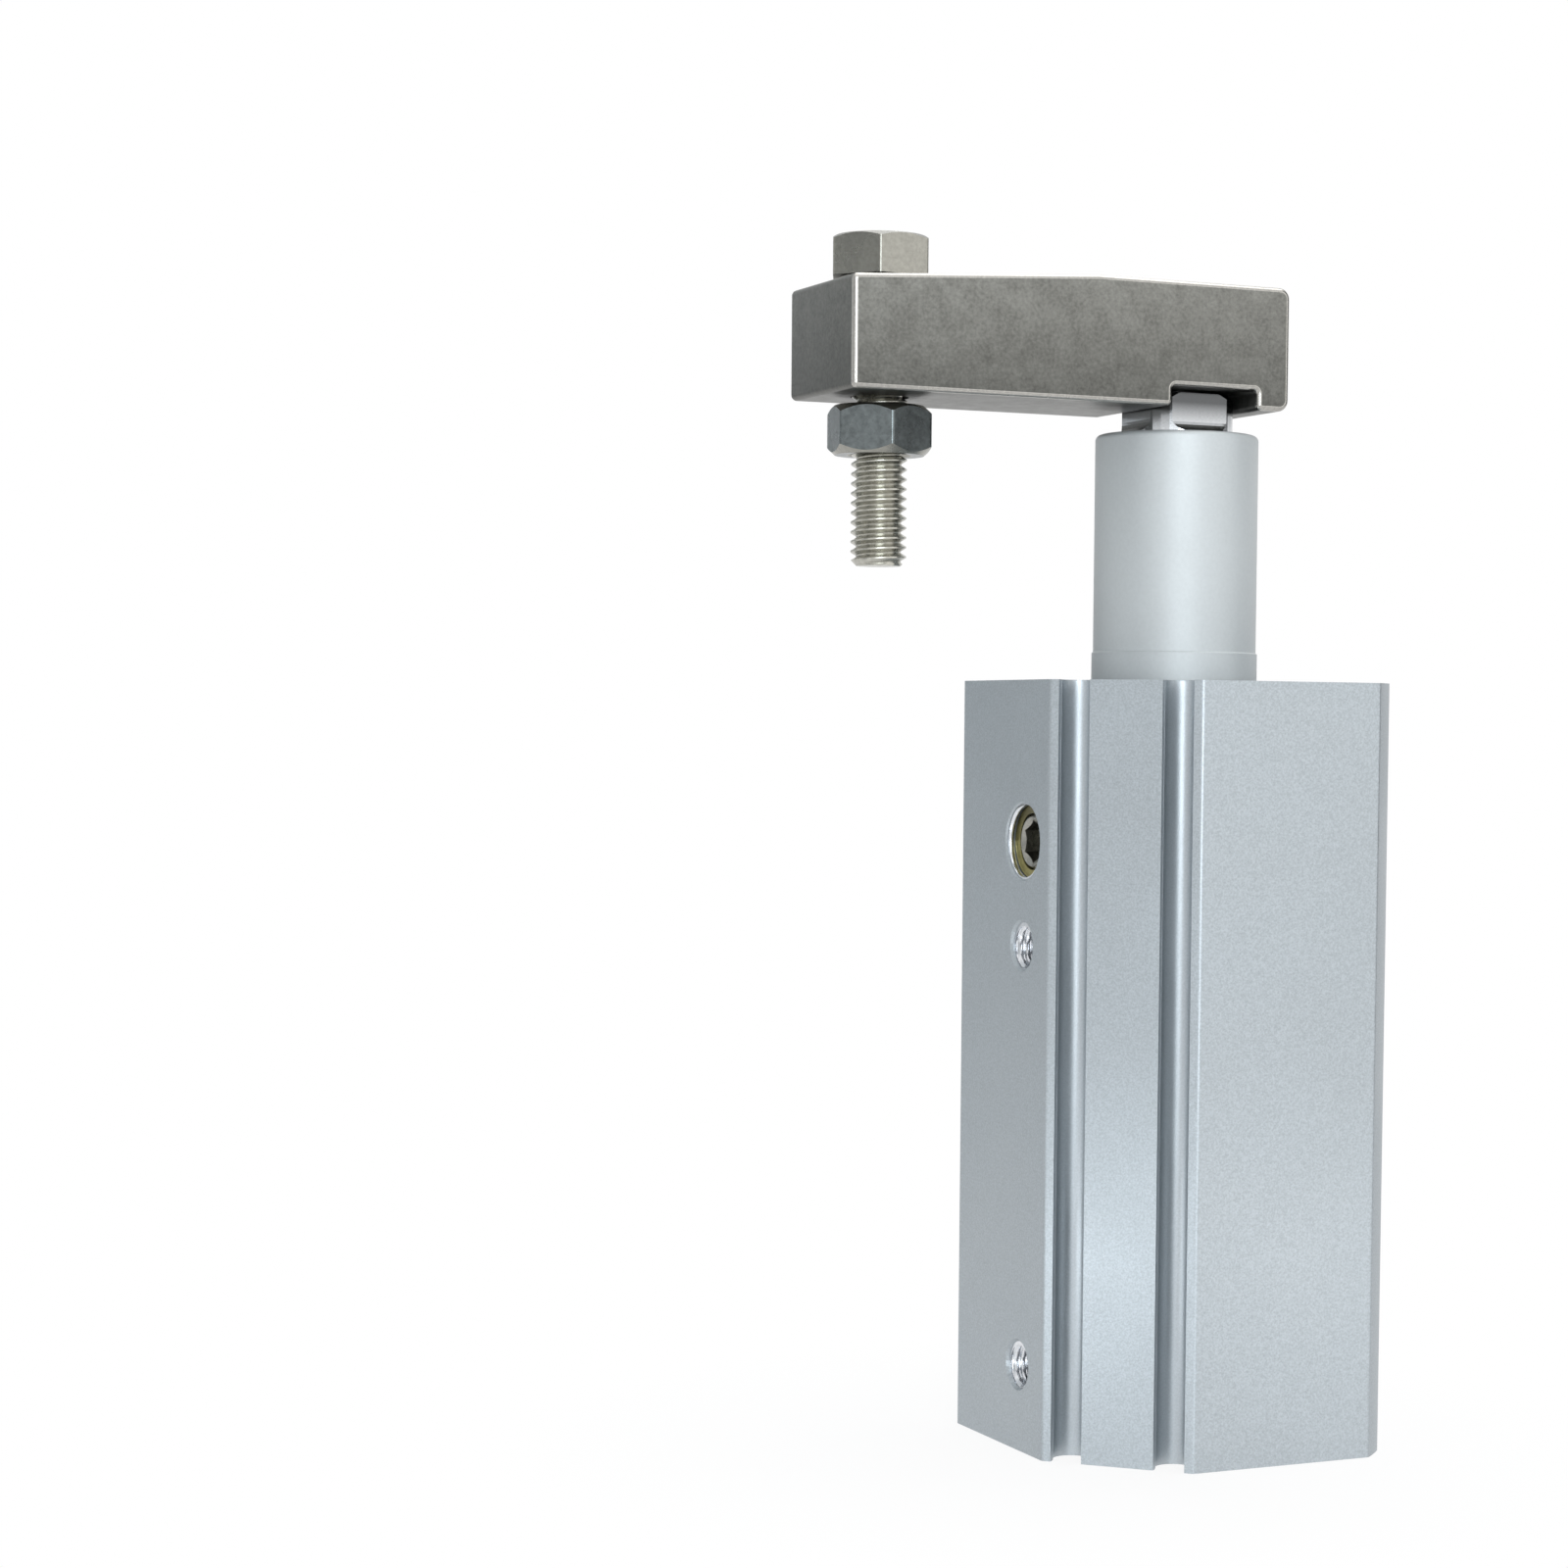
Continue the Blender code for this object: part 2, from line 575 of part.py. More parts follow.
def build_rod_bumper(material):
    profile = ring_profile(COVER_BORE_RADIUS + COVER_NECK_WALL + FIT, ROD_BUMPER_RADIUS,
                           ROD_BUMPER_BOTTOM, ROD_BUMPER_BOTTOM + BUMPER_THICKNESS, BUMPER_ROUNDING)
    return turned("rod_bumper", profile, material)


def piston_groove(start, height, floor_radius):
    low = PISTON_BOTTOM + start
    high = low + height
    return [(PISTON_RADIUS, low), (floor_radius, low), (floor_radius, high), (PISTON_RADIUS, high)]


def build_piston(material):
    recess_radius = PISTON_SCREW_HEAD_RADIUS + SEAT
    screw_hole = PISTON_SCREW_RADIUS + FIT
    spigot_hole = ROD_SPIGOT_RADIUS + FIT
    profile = [(recess_radius, PISTON_BOTTOM), (PISTON_RADIUS, PISTON_BOTTOM)]
    profile += piston_groove(PISTON_SEAL_START, PISTON_SEAL_HEIGHT, PISTON_SEAL_FLOOR_RADIUS)
    profile += piston_groove(MAGNET_START, MAGNET_HEIGHT, MAGNET_FLOOR_RADIUS)
    profile += piston_groove(WEAR_RING_START, WEAR_RING_HEIGHT, WEAR_RING_FLOOR_RADIUS)
    profile += [
        (PISTON_RADIUS, PISTON_TOP),
        (spigot_hole, PISTON_TOP),
        (spigot_hole, PISTON_WEB_TOP),
        (screw_hole, PISTON_WEB_TOP),
        (screw_hole, PISTON_RECESS_TOP),
        (recess_radius, PISTON_RECESS_TOP),
    ]
    return turned("piston", profile, material)


def build_piston_seal(material):
    outer = BORE_RADIUS - SLIDE
    inner = PISTON_SEAL_FLOOR_RADIUS + FIT
    low = PISTON_BOTTOM + PISTON_SEAL_START + FIT
    high = low + PISTON_SEAL_HEIGHT - 2 * FIT
    profile = [
        (inner, low),
        (outer - LIP_LENGTH, low),
        (outer, low + LIP_LENGTH),
        (outer - LIP_LENGTH / 2, (low + high) / 2),
        (outer, high - LIP_LENGTH),
        (outer - LIP_LENGTH, high),
        (inner, high),
    ]
    return turned("piston_seal", profile, material)


def build_magnet(material):
    low = PISTON_BOTTOM + MAGNET_START + FIT
    high = low + MAGNET_HEIGHT - 2 * FIT
    profile = ring_profile(MAGNET_FLOOR_RADIUS + FIT, PISTON_RADIUS - SEAT, low, high)
    return turned("piston_magnet", profile, material)


def build_wear_ring(material):
    low = PISTON_BOTTOM + WEAR_RING_START + FIT
    high = low + WEAR_RING_HEIGHT - 2 * FIT
    profile = ring_profile(WEAR_RING_FLOOR_RADIUS + FIT, BORE_RADIUS - SLIDE, low, high)
    return turned("piston_wear_ring", profile, material)


def socket_cap_screw(name, radius, head_radius, seat, head_end, tip, flats, depth, material):
    """Cap screw along Z. The head runs from its seat to head_end, the shank from its seat to tip."""
    out = math.copysign(1, head_end - seat)
    edge = ROD_END_CHAMFER / 2
    profile = [(0, tip), (radius - edge, tip), (radius, tip + out * edge), (radius, seat),
               (head_radius, seat), (head_radius, head_end - out * edge),
               (head_radius - edge, head_end), (0, head_end)]
    screw = turned(name, profile, material)
    low, high = sorted((head_end - out * depth, head_end + out * CUT_MARGIN))
    cut(screw, prism(f"{name}_socket_cut", hexagon(flats), low, high))
    return screw


def build_piston_screw(material):
    """Cap screw that draws the rod's spigot into the piston, from below."""
    return socket_cap_screw("piston_screw", PISTON_SCREW_RADIUS, PISTON_SCREW_HEAD_RADIUS,
                            PISTON_SCREW_SEAT, PISTON_SCREW_HEAD_END,
                            PISTON_SCREW_SEAT + PISTON_SCREW_LENGTH,
                            PISTON_SCREW_SOCKET_FLATS, PISTON_SCREW_SOCKET_DEPTH, material)


def build_arm_screw(material):
    seat = ARM_SCREW_SEAT + SEAT
    return socket_cap_screw("arm_screw", ARM_SCREW_RADIUS, ARM_SCREW_HEAD_RADIUS, seat,
                            seat + ARM_SCREW_HEAD_HEIGHT, seat - ARM_SCREW_LENGTH,
                            ARM_SCREW_SOCKET_FLATS, ARM_SCREW_SOCKET_DEPTH, material)


def cam_groove_path():
    """Angle and height of the cam groove's centre on the rod, from its top end down."""
    top = GUIDE_HEIGHT
    knee = top - CLAMP_STROKE
    path = []
    for step in range(CAM_STEPS + 1):
        height = top - STROKE * step / CAM_STEPS
        below = max(0.0, knee - height)
        blend = min(below, CAM_BLEND)
        eased = blend * blend / (2 * CAM_BLEND) + (below - blend)
        whole = SWING_STROKE - CAM_BLEND / 2
        path.append((math.pi - SWING_ANGLE * eased / whole, height))
    return path


def cam_stations():
    """Places along the cam groove as (angle, height, direction, half width), round ends included."""
    path = cam_groove_path()
    half = CAM_GROOVE_WIDTH / 2
    stations = []
    for index, (angle, height) in enumerate(path):
        before = path[max(0, index - 1)]
        after = path[min(len(path) - 1, index + 1)]
        run = Vector(((after[0] - before[0]) * ROD_RADIUS, after[1] - before[1])).normalized()
        stations.append((angle, height, run, half))
    first, last = stations[0], stations[-1]
    for step in range(1, CAM_END_STEPS + 1):
        swing = CAM_END_SWEEP * step / CAM_END_STEPS
        ahead = half * math.sin(swing)
        narrowed = half * math.cos(swing)
        for (angle, height, run, _), sign in ((first, -1), (last, 1)):
            place = (angle + sign * run.x * ahead / ROD_RADIUS, height + sign * run.y * ahead, run, narrowed)
            stations.insert(0 if sign < 0 else len(stations), place)
    return stations


def build_cam_cutter():
    """Sweeps the cam groove's section along its path round the rod."""
    inner = ROD_RADIUS - CAM_GROOVE_DEPTH
    outer = ROD_RADIUS + CUT_MARGIN
    bm = bmesh.new()
    rows = []
    for angle, height, run, half in cam_stations():
        side = Vector((-run.y, run.x)) * half
        row = []
        for sign, radius in ((-1, inner), (1, inner), (1, outer), (-1, outer)):
            turn = angle + sign * side.x / ROD_RADIUS
            reach = radius / math.cos(side.x / ROD_RADIUS)
            row.append(bm.verts.new((reach * math.cos(turn), reach * math.sin(turn),
                                     height + sign * side.y)))
        rows.append(row)
    for row, following in zip(rows, rows[1:]):
        for corner in range(4):
            beside = (corner + 1) % 4
            bm.faces.new((row[corner], row[beside], following[beside], following[corner]))
    bm.faces.new(rows[0])
    bm.faces.new(rows[-1])
    return add_object("cam_groove_cut", bm)


def flat_cutter(index):
    """Slab that mills one flat on the rod's end, with the cutter's radius at its lower end."""
    low = ARM_BOTTOM - ROD_FLAT_BELOW_ARM
    half = ROD_FLATS / 2
    sweep = arc((half + ROD_FLAT_CUTTER_RADIUS, low), ROD_FLAT_CUTTER_RADIUS,
                math.pi, math.pi * 1.5, MILLED_STEPS)
    far = half + 2 * ROD_FLAT_CUTTER_RADIUS
    outline = [(half, ROD_TOP + CUT_MARGIN)] + sweep
    outline += [(far, low - ROD_FLAT_CUTTER_RADIUS), (far, ROD_TOP + CUT_MARGIN)]
    tool = prism(f"rod_flat_cut_{index}", outline, -ROD_RADIUS, ROD_RADIUS)
    tool.matrix_world = Matrix.Rotation(index * math.pi / 2, 4, "Z") @ Matrix.Rotation(math.pi / 2, 4, "X")
    return tool


def build_rod(material):
    tip = PISTON_WEB_TOP + SEAT
    tap = PISTON_SCREW_RADIUS + FIT
    tap_end = PISTON_SCREW_SEAT + PISTON_SCREW_LENGTH + ROD_TAP_RUNOUT
    top_tap = ARM_SCREW_RADIUS + FIT
    top_tap_end = ROD_TOP - ROD_TAP_DEPTH
    profile = [
        (0, tap_end),
        (tap, tap_end),
        (tap, tip),
        (ROD_SPIGOT_RADIUS, tip),
        (ROD_SPIGOT_RADIUS, ROD_SHOULDER),
        (ROD_RADIUS - ROD_END_CHAMFER, ROD_SHOULDER),
        (ROD_RADIUS, ROD_SHOULDER + ROD_END_CHAMFER),
        (ROD_RADIUS, ROD_TOP - ROD_END_CHAMFER),
        (ROD_RADIUS - ROD_END_CHAMFER, ROD_TOP),
        (top_tap, ROD_TOP),
        (top_tap, top_tap_end),
        (0, top_tap_end),
    ]
    rod = turned("piston_rod", profile, material, segments=FINE)
    cut(rod, build_cam_cutter())
    for index in range(4):
        cut(rod, flat_cutter(index))
    return rod


def build_rod_cover(material):
    plug = BORE_RADIUS - FIT
    neck_bottom = COVER_BOTTOM - COVER_NECK_LENGTH
    neck = COVER_BORE_RADIUS + COVER_NECK_WALL
    oring_middle = BARREL_HEIGHT - COVER_ORING_DROP
    oring_low = oring_middle - ORING_GROOVE_WIDTH / 2
    oring_high = oring_middle + ORING_GROOVE_WIDTH / 2
    oring_floor = BORE_RADIUS - ORING_GROOVE_DEPTH
    band_top = BARREL_HEIGHT + BAND_HEIGHT
    band_step = BAND_RADIUS - SLEEVE_RADIUS
    bush_stop = BUSH_TOP + SEAT
    rim = arc((SLEEVE_RADIUS - SLEEVE_ROUNDING, COVER_TOP - SLEEVE_ROUNDING), SLEEVE_ROUNDING,
              0, math.pi / 2, RIM_STEPS)
    profile = [
        (COVER_BORE_RADIUS, neck_bottom),
        (neck, neck_bottom),
        (neck, COVER_BOTTOM),
        (plug, COVER_BOTTOM),
        (plug, oring_low),
        (oring_floor, oring_low),
        (oring_floor, oring_high),
        (plug, oring_high),
        (plug, COVER_STEP),
        (BAND_RADIUS, COVER_STEP),
        (BAND_RADIUS, band_top - band_step),
        (SLEEVE_RADIUS, band_top),
    ]
    profile += rim
    profile += [
        (WIPER_POCKET_RADIUS, COVER_TOP),
        (WIPER_POCKET_RADIUS, WIPER_POCKET_FLOOR),
        (SEAL_LAND_RADIUS, WIPER_POCKET_FLOOR),
        (SEAL_LAND_RADIUS, SEAL_POCKET_TOP),
        (SEAL_POCKET_RADIUS, SEAL_POCKET_TOP),
        (SEAL_POCKET_RADIUS, SEAL_POCKET_FLOOR),
        (SEAL_LAND_RADIUS, SEAL_POCKET_FLOOR),
        (SEAL_LAND_RADIUS, bush_stop),
        (COVER_BORE_RADIUS, bush_stop),
    ]
    cover = turned("rod_cover", profile, material, segments=FINE)
    hole = ring_profile(0, GUIDE_SHANK_RADIUS + SEAT,
                        COVER_BORE_RADIUS - CUT_MARGIN, BORE_RADIUS + CUT_MARGIN)
    cut(cover, facing_port_side(turned("cover_guide_cut", hole), GUIDE_HEIGHT))
    return cover


def build_bush(material):
    outer = COVER_BORE_RADIUS - FIT
    inner = ROD_RADIUS + SLIDE
    return turned("rod_bush", ring_profile(inner, outer, BUSH_TOP - BUSH_LENGTH, BUSH_TOP), material)


def build_rod_seal(material):
    """Lip seal, open downward to the pressure."""
    inner = ROD_RADIUS + SLIDE
    outer = SEAL_POCKET_RADIUS - FIT
    middle = (inner + outer) / 2
    low = SEAL_POCKET_FLOOR + SEAT
    high = SEAL_POCKET_TOP - SEAT
    profile = [
        (inner, low),
        (middle - LIP_LENGTH / 2, low),
        (middle, low + LIP_LENGTH),
        (middle + LIP_LENGTH / 2, low),
        (outer, low),
        (outer, high),
        (inner + LIP_LENGTH / 2, high),
        (inner, low + LIP_LENGTH),
    ]
    return turned("rod_seal", profile, material)


def build_rod_wiper(material):
    inner = ROD_RADIUS + SLIDE
    outer = WIPER_POCKET_RADIUS - FIT
    low = WIPER_POCKET_FLOOR + SEAT
    high = COVER_TOP - FIT
    profile = [
        (inner + LIP_LENGTH / 2, low),
        (outer, low),
        (outer, high),
        (inner + LIP_LENGTH / 2, high - LIP_LENGTH / 2),
        (inner, high),
    ]
    return turned("rod_wiper", profile, material, segments=MEDIUM)


def build_guide_screw(material):
    """Hex-socket screw whose nose stands in line with the cam groove, clear of the rod."""
    face = GUIDE_SHOULDER + GUIDE_BOSS_HEIGHT
    nose_end = ROD_RADIUS + FIT
    edge = ROD_END_CHAMFER / 2
    profile = [
        (0, nose_end),
        (GUIDE_NOSE_RADIUS, nose_end),
        (GUIDE_NOSE_RADIUS, GUIDE_SHANK_END_RADIUS),
        (GUIDE_SHANK_RADIUS, GUIDE_SHANK_END_RADIUS),
        (GUIDE_SHANK_RADIUS, GUIDE_BODY_END),
        (GUIDE_BODY_RADIUS, GUIDE_BODY_END),
        (GUIDE_BODY_RADIUS, GUIDE_SHOULDER),
        (GUIDE_BOSS_RADIUS, GUIDE_SHOULDER),
        (GUIDE_BOSS_RADIUS, face - edge),
        (GUIDE_BOSS_RADIUS - edge, face),
        (GUIDE_BOSS_RADIUS - edge - GUIDE_RIM_WIDTH, face),
        (GUIDE_SOCKET_FLATS / 2, face - GUIDE_DISH_DEPTH),
        (0, face - GUIDE_DISH_DEPTH),
    ]
    screw = turned("guide_screw", profile, material, segments=MEDIUM)
    socket = prism("guide_screw_socket_cut", hexagon(GUIDE_SOCKET_FLATS),
                   face - GUIDE_SOCKET_DEPTH, face + CUT_MARGIN)
    cut(screw, facing_port_side(socket, GUIDE_HEIGHT))
    return facing_port_side(screw, GUIDE_HEIGHT)


def build_guide_seal(material):
    """Ring that seals the guide screw's shoulder in its hole."""
    low = GUIDE_SHOULDER + FIT
    high = low + GUIDE_SEAL_THICKNESS
    inner = GUIDE_BOSS_RADIUS + FIT
    profile = [
        (inner, low),
        (GUIDE_BODY_RADIUS, low),
        (GUIDE_BODY_RADIUS, high),
        (inner, low + GUIDE_SEAL_DISH),
    ]
    return facing_port_side(turned("guide_screw_seal", profile, material, segments=MEDIUM), GUIDE_HEIGHT)


def arm_side_points():
    """Side view of the arm as (x, z) points, slot included, from the tip's lower corner."""
    tip = -(ARM_REACH + ARM_TIP_MARGIN)
    half_slot = ARM_SLOT_WIDTH / 2
    return [
        (tip, ARM_BOTTOM),
        (-half_slot, ARM_BOTTOM),
        (-half_slot, ARM_SLOT_CEILING),
        (half_slot, ARM_SLOT_CEILING),
        (half_slot, ARM_BOTTOM),
        (ARM_BACK, ARM_BOTTOM),
        (ARM_BACK, ARM_TOP),
        (-ARM_KINK, ARM_TOP),
        (tip, ARM_BOTTOM + ARM_TIP_THICKNESS),
    ]


def arm_edge_radius(edge):
    """Rounding of one edge of the arm before it is drilled."""
    start, end = edge.verts[0].co, edge.verts[1].co
    run = end - start
    on_kink = all(abs(point.x + ARM_KINK) < CUT_MARGIN for point in (start, end))
    if on_kink:
        return 0.0
    lengthwise = abs(run.x) > abs(run.z) and abs(run.y) < CUT_MARGIN
    on_far_side = min(start.y, end.y) > 0
    in_slot = max(abs(start.x), abs(end.x)) < ARM_SLOT_WIDTH
    if lengthwise and on_far_side and not in_slot:
        return ARM_FAR_EDGE_RADIUS
    at_back = min(start.x, end.x) > ARM_BACK - CUT_MARGIN
    if at_back and abs(run.y) > CUT_MARGIN:
        return ARM_BACK_EDGE_RADIUS
    return ARM_EDGE_RADIUS


def build_arm(material):
    bm = bmesh.new()
    face = bm.faces.new([bm.verts.new((x, -ARM_WIDTH / 2, z)) for x, z in arm_side_points()])
    grown = bmesh.ops.extrude_face_region(bm, geom=[face])["geom"]
    moved = [part for part in grown if isinstance(part, bmesh.types.BMVert)]
    bmesh.ops.translate(bm, verts=moved, vec=(0, ARM_WIDTH, 0))
    weights = bm.edges.layers.float.new("bevel_weight_edge")
    for edge in bm.edges:
        edge[weights] = arm_edge_radius(edge) / ARM_FAR_EDGE_RADIUS
    arm = add_object("clamp_arm", bm, material)
    rounding = arm.modifiers.new("edge rounding", "BEVEL")
    rounding.limit_method = "WEIGHT"
    rounding.width = ARM_FAR_EDGE_RADIUS
    rounding.segments = EDGE_STEPS
    above = ARM_TOP + CUT_MARGIN
    sink = [
        (0, ARM_BOTTOM),
        (ARM_SCREW_RADIUS + FIT, ARM_BOTTOM),
        (ARM_SCREW_RADIUS + FIT, ARM_SCREW_SEAT),
        (ARM_SINK_RADIUS, ARM_SCREW_SEAT),
        (ARM_SINK_RADIUS, above),
        (0, above),
    ]
    bolt_hole = [
        (0, ARM_BOTTOM - CUT_MARGIN),
        (BOLT_RADIUS + FIT, ARM_BOTTOM - CUT_MARGIN),
        (BOLT_RADIUS + FIT, BOLT_SEAT),
        (ARM_SEAT_RADIUS, BOLT_SEAT),
        (ARM_SEAT_RADIUS, above),
        (0, above),
    ]
    drill = turned("bolt_hole_cut", bolt_hole, segments=MEDIUM)
    drill.location = (-ARM_REACH, 0, 0)
    cut(arm, turned("arm_sink_cut", sink, segments=MEDIUM), drill)
    arm.data.shade_smooth()
    arm.data.set_sharp_from_angle(angle=ARM_SMOOTH_ANGLE)
    return arm


def hex_blank_profile(flats, low, high, chamfered_below):
    """Turned blank that trims a hexagon, with its corners chamfered on top or on both ends."""
    corner = flats / math.sqrt(3)
    crown = flats / 2 * HEX_CROWN_SHARE
    reach = corner + CUT_MARGIN
    drop = (reach - crown) * math.tan(HEX_CHAMFER_ANGLE)
    profile = [(0, low)]
    if chamfered_below:
        profile += [(crown, low), (reach, low + drop)]
    else:
        profile += [(reach, low)]
    profile += [(reach, high - drop), (crown, high), (0, high)]
    return profile


def build_clamp_bolt(material):
    washer_bottom = BOLT_SEAT + SEAT
    head_bottom = washer_bottom + BOLT_WASHER_FACE_HEIGHT
    head_top = head_bottom + BOLT_HEAD_HEIGHT
    tip = washer_bottom - BOLT_LENGTH
    bolt = prism("clamp_bolt", hexagon(BOLT_FLATS, BOLT_HEAD_TURN),
                 head_bottom, head_top + CUT_MARGIN, material)
    blank = turned("bolt_head_blank", hex_blank_profile(
        BOLT_FLATS, head_bottom - CUT_MARGIN, head_top, False), segments=MEDIUM)
    boolean(bolt, blank, "INTERSECT")
    shank = turned("bolt_shank_join", [
        (0, tip),
        (BOLT_RADIUS - BOLT_END_CHAMFER, tip),
        (BOLT_RADIUS, tip + BOLT_END_CHAMFER),
        (BOLT_RADIUS, washer_bottom),
        (BOLT_WASHER_FACE_RADIUS, washer_bottom),
        (BOLT_WASHER_FACE_RADIUS, head_bottom + BOLT_HEAD_HEIGHT / 2),
        (0, head_bottom + BOLT_HEAD_HEIGHT / 2),
    ])
    boolean(bolt, shank, "UNION")
    for item in (bolt, blank, shank):
        item.location = (-ARM_REACH, 0, 0)
    return bolt


def build_lock_nut(material):
    top = ARM_BOTTOM - NUT_DROP
    bottom = top - NUT_HEIGHT
    nut = prism("lock_nut", hexagon(BOLT_FLATS, NUT_TURN), bottom - CUT_MARGIN, top + CUT_MARGIN, material)
    blank = turned("nut_blank", hex_blank_profile(BOLT_FLATS, bottom, top, True), segments=MEDIUM)
    boolean(nut, blank, "INTERSECT")
    hole = BOLT_RADIUS + FIT
    flare = hole + BOLT_END_CHAMFER / 2
    tool = turned("nut_hole_cut", [
        (0, bottom - CUT_MARGIN),
        (flare + CUT_MARGIN, bottom - CUT_MARGIN),
        (hole, bottom + BOLT_END_CHAMFER / 2),
        (hole, top - BOLT_END_CHAMFER / 2),
        (flare + CUT_MARGIN, top + CUT_MARGIN),
        (0, top + CUT_MARGIN),
    ])
    cut(nut, tool)
    for item in (nut, blank, tool):
        item.location = (-ARM_REACH, 0, 0)
    return nut


def axis_empty(name, parent=None):
    """Empty on the rod's axis, which the pieces of one body are placed from."""
    empty = bpy.data.objects.new(name, None)
    bpy.context.collection.objects.link(empty)
    if parent:
        empty.parent = parent
    else:
        empty.location = (ROD_AXIS_X, 0, 0)
    return empty


def carry(empty, pieces):
    """Places pieces, and the tools that shape them, from an empty."""
    for piece in pieces:
        piece.parent = empty
        for modifier in piece.modifiers:
            if modifier.type == "BOOLEAN":
                modifier.object.parent = empty


def main():
    clear_scene()
    anodised = make_material("anodised_aluminium", (0.60, 0.64, 0.66), 0.45, 0.9)
    coated = make_material("coated_aluminium", (0.68, 0.71, 0.73), 0.5, 0.3)
    plain_aluminium = make_material("machined_aluminium", (0.75, 0.76, 0.77), 0.35, 1.0)
    cast_steel = make_material("nickel_plated_steel", (0.36, 0.35, 0.32), 0.45, 1.0)
    stainless = make_material("stainless_steel", (0.62, 0.61, 0.57), 0.3, 1.0)
    chromed = make_material("hard_chrome", (0.80, 0.81, 0.82), 0.12, 1.0)
    spring_steel = make_material("spring_steel", (0.18, 0.18, 0.18), 0.4, 1.0)
    black_steel = make_material("black_oxide_steel", (0.05, 0.05, 0.05), 0.4, 0.8)
    bronze = make_material("bronze_bush", (0.55, 0.42, 0.20), 0.35, 1.0)
    sealant = make_material("seal_ring_yellow", (0.42, 0.38, 0.16), 0.4, 0.6)
    rubber = make_material("black_rubber", (0.03, 0.03, 0.03), 0.7, 0.0)
    elastomer = make_material("bumper_elastomer", (0.10, 0.09, 0.08), 0.6, 0.0)
    resin = make_material("wear_ring_resin", (0.35, 0.30, 0.22), 0.5, 0.0)
    magnet = make_material("bonded_magnet", (0.12, 0.11, 0.11), 0.6, 0.2)

    fixed = [
        build_barrel(anodised),
        build_head_cover(plain_aluminium),
        build_oring("head_cover_oring", HEAD_BORE_RADIUS, (HEAD_COVER_BOTTOM + HEAD_COVER_TOP) / 2, rubber),
        build_head_retainer(spring_steel),
        build_head_bumper(elastomer),
        build_rod_bumper(elastomer),
        build_rod_cover(coated),
        build_oring("rod_cover_oring", BORE_RADIUS, BARREL_HEIGHT - COVER_ORING_DROP, rubber),
        build_cover_retainer(spring_steel),
        build_bush(bronze),
        build_rod_seal(rubber),
        build_rod_wiper(rubber),
        build_guide_screw(stainless),
        build_guide_seal(sealant),
    ]
    sliding = [
        build_piston_seal(rubber),
        build_wear_ring(resin),
    ]
    turning = [
        build_piston(plain_aluminium),
        build_magnet(magnet),
        build_piston_screw(black_steel),
        build_rod(chromed),
        build_arm(cast_steel),
        build_arm_screw(black_steel),
        build_clamp_bolt(stainless),
        build_lock_nut(stainless),
    ]
    barrel_axis = axis_empty("barrel_axis")
    stroke_axis = axis_empty("stroke_axis", barrel_axis)
    swing_axis = axis_empty("swing_axis", stroke_axis)
    carry(barrel_axis, fixed)
    carry(stroke_axis, sliding)
    carry(swing_axis, turning)


main()
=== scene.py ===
"""Looks of the swing clamp cylinder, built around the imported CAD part. Metres, +Z up."""
import math

import bmesh
import bpy
from mathutils import Matrix, Vector


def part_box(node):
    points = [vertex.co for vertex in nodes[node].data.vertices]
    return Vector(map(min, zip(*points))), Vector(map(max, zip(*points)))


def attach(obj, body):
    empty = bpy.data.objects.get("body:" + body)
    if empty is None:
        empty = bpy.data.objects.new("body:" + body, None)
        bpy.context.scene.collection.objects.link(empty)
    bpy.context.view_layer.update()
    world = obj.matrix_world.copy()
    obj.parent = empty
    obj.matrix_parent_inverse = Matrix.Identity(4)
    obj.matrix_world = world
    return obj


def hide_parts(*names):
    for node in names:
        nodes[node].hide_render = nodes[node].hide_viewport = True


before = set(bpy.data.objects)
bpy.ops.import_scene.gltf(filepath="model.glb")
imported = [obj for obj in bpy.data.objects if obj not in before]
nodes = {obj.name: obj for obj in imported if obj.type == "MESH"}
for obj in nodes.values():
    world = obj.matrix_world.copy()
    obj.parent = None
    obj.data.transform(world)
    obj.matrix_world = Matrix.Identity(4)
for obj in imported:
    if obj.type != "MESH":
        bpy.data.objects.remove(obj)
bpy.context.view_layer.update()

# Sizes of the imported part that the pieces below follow
AXIS_X = 0.0118                # the rod's axis
BOLT_X = AXIS_X - 0.035        # the clamp bolt's axis
BARREL_SIDE = 0.036
BARREL_TOP = 0.0825
BEVEL_DISTANCE = 0.0171        # from the rod's axis to the face of a bevelled corner
GROOVE_RADIUS = 0.00205
GROOVE_MOUTH = 0.0034
GROOVE_DEPTH = 0.0040
GROOVE_LIP = 0.0010
GROOVE_PITCH = math.sqrt(2) * (BARREL_SIDE - math.sqrt(2) * BEVEL_DISTANCE) - GROOVE_MOUTH - 2 * GROOVE_LIP
MOUNT_OFFSET = 0.01275         # from the rod's axis to a mounting hole, along X and along Y
SINK_RADIUS = 0.0045           # the mounting holes' counterbores
SINK_DEPTH = 0.007
PORT_HEIGHTS = (("low", 0.0092), ("high", 0.0542))
GUIDE_HEIGHT = 0.0653
GUIDE_HOLE_RADIUS = 0.00403
SLEEVE_RADIUS = 0.0088
BAND_RADIUS = 0.00895
SLEEVE_TOP = 0.1090
ROD_RADIUS = 0.0060
BOLT_SEAT = 0.1235             # where the bolt's washer face meets the arm
HEX_FLATS = 0.0098             # across the flats of the bolt's head and of the nut
BOLT_TURN = math.radians(6.6)
NUT_TURN = math.radians(20.9)

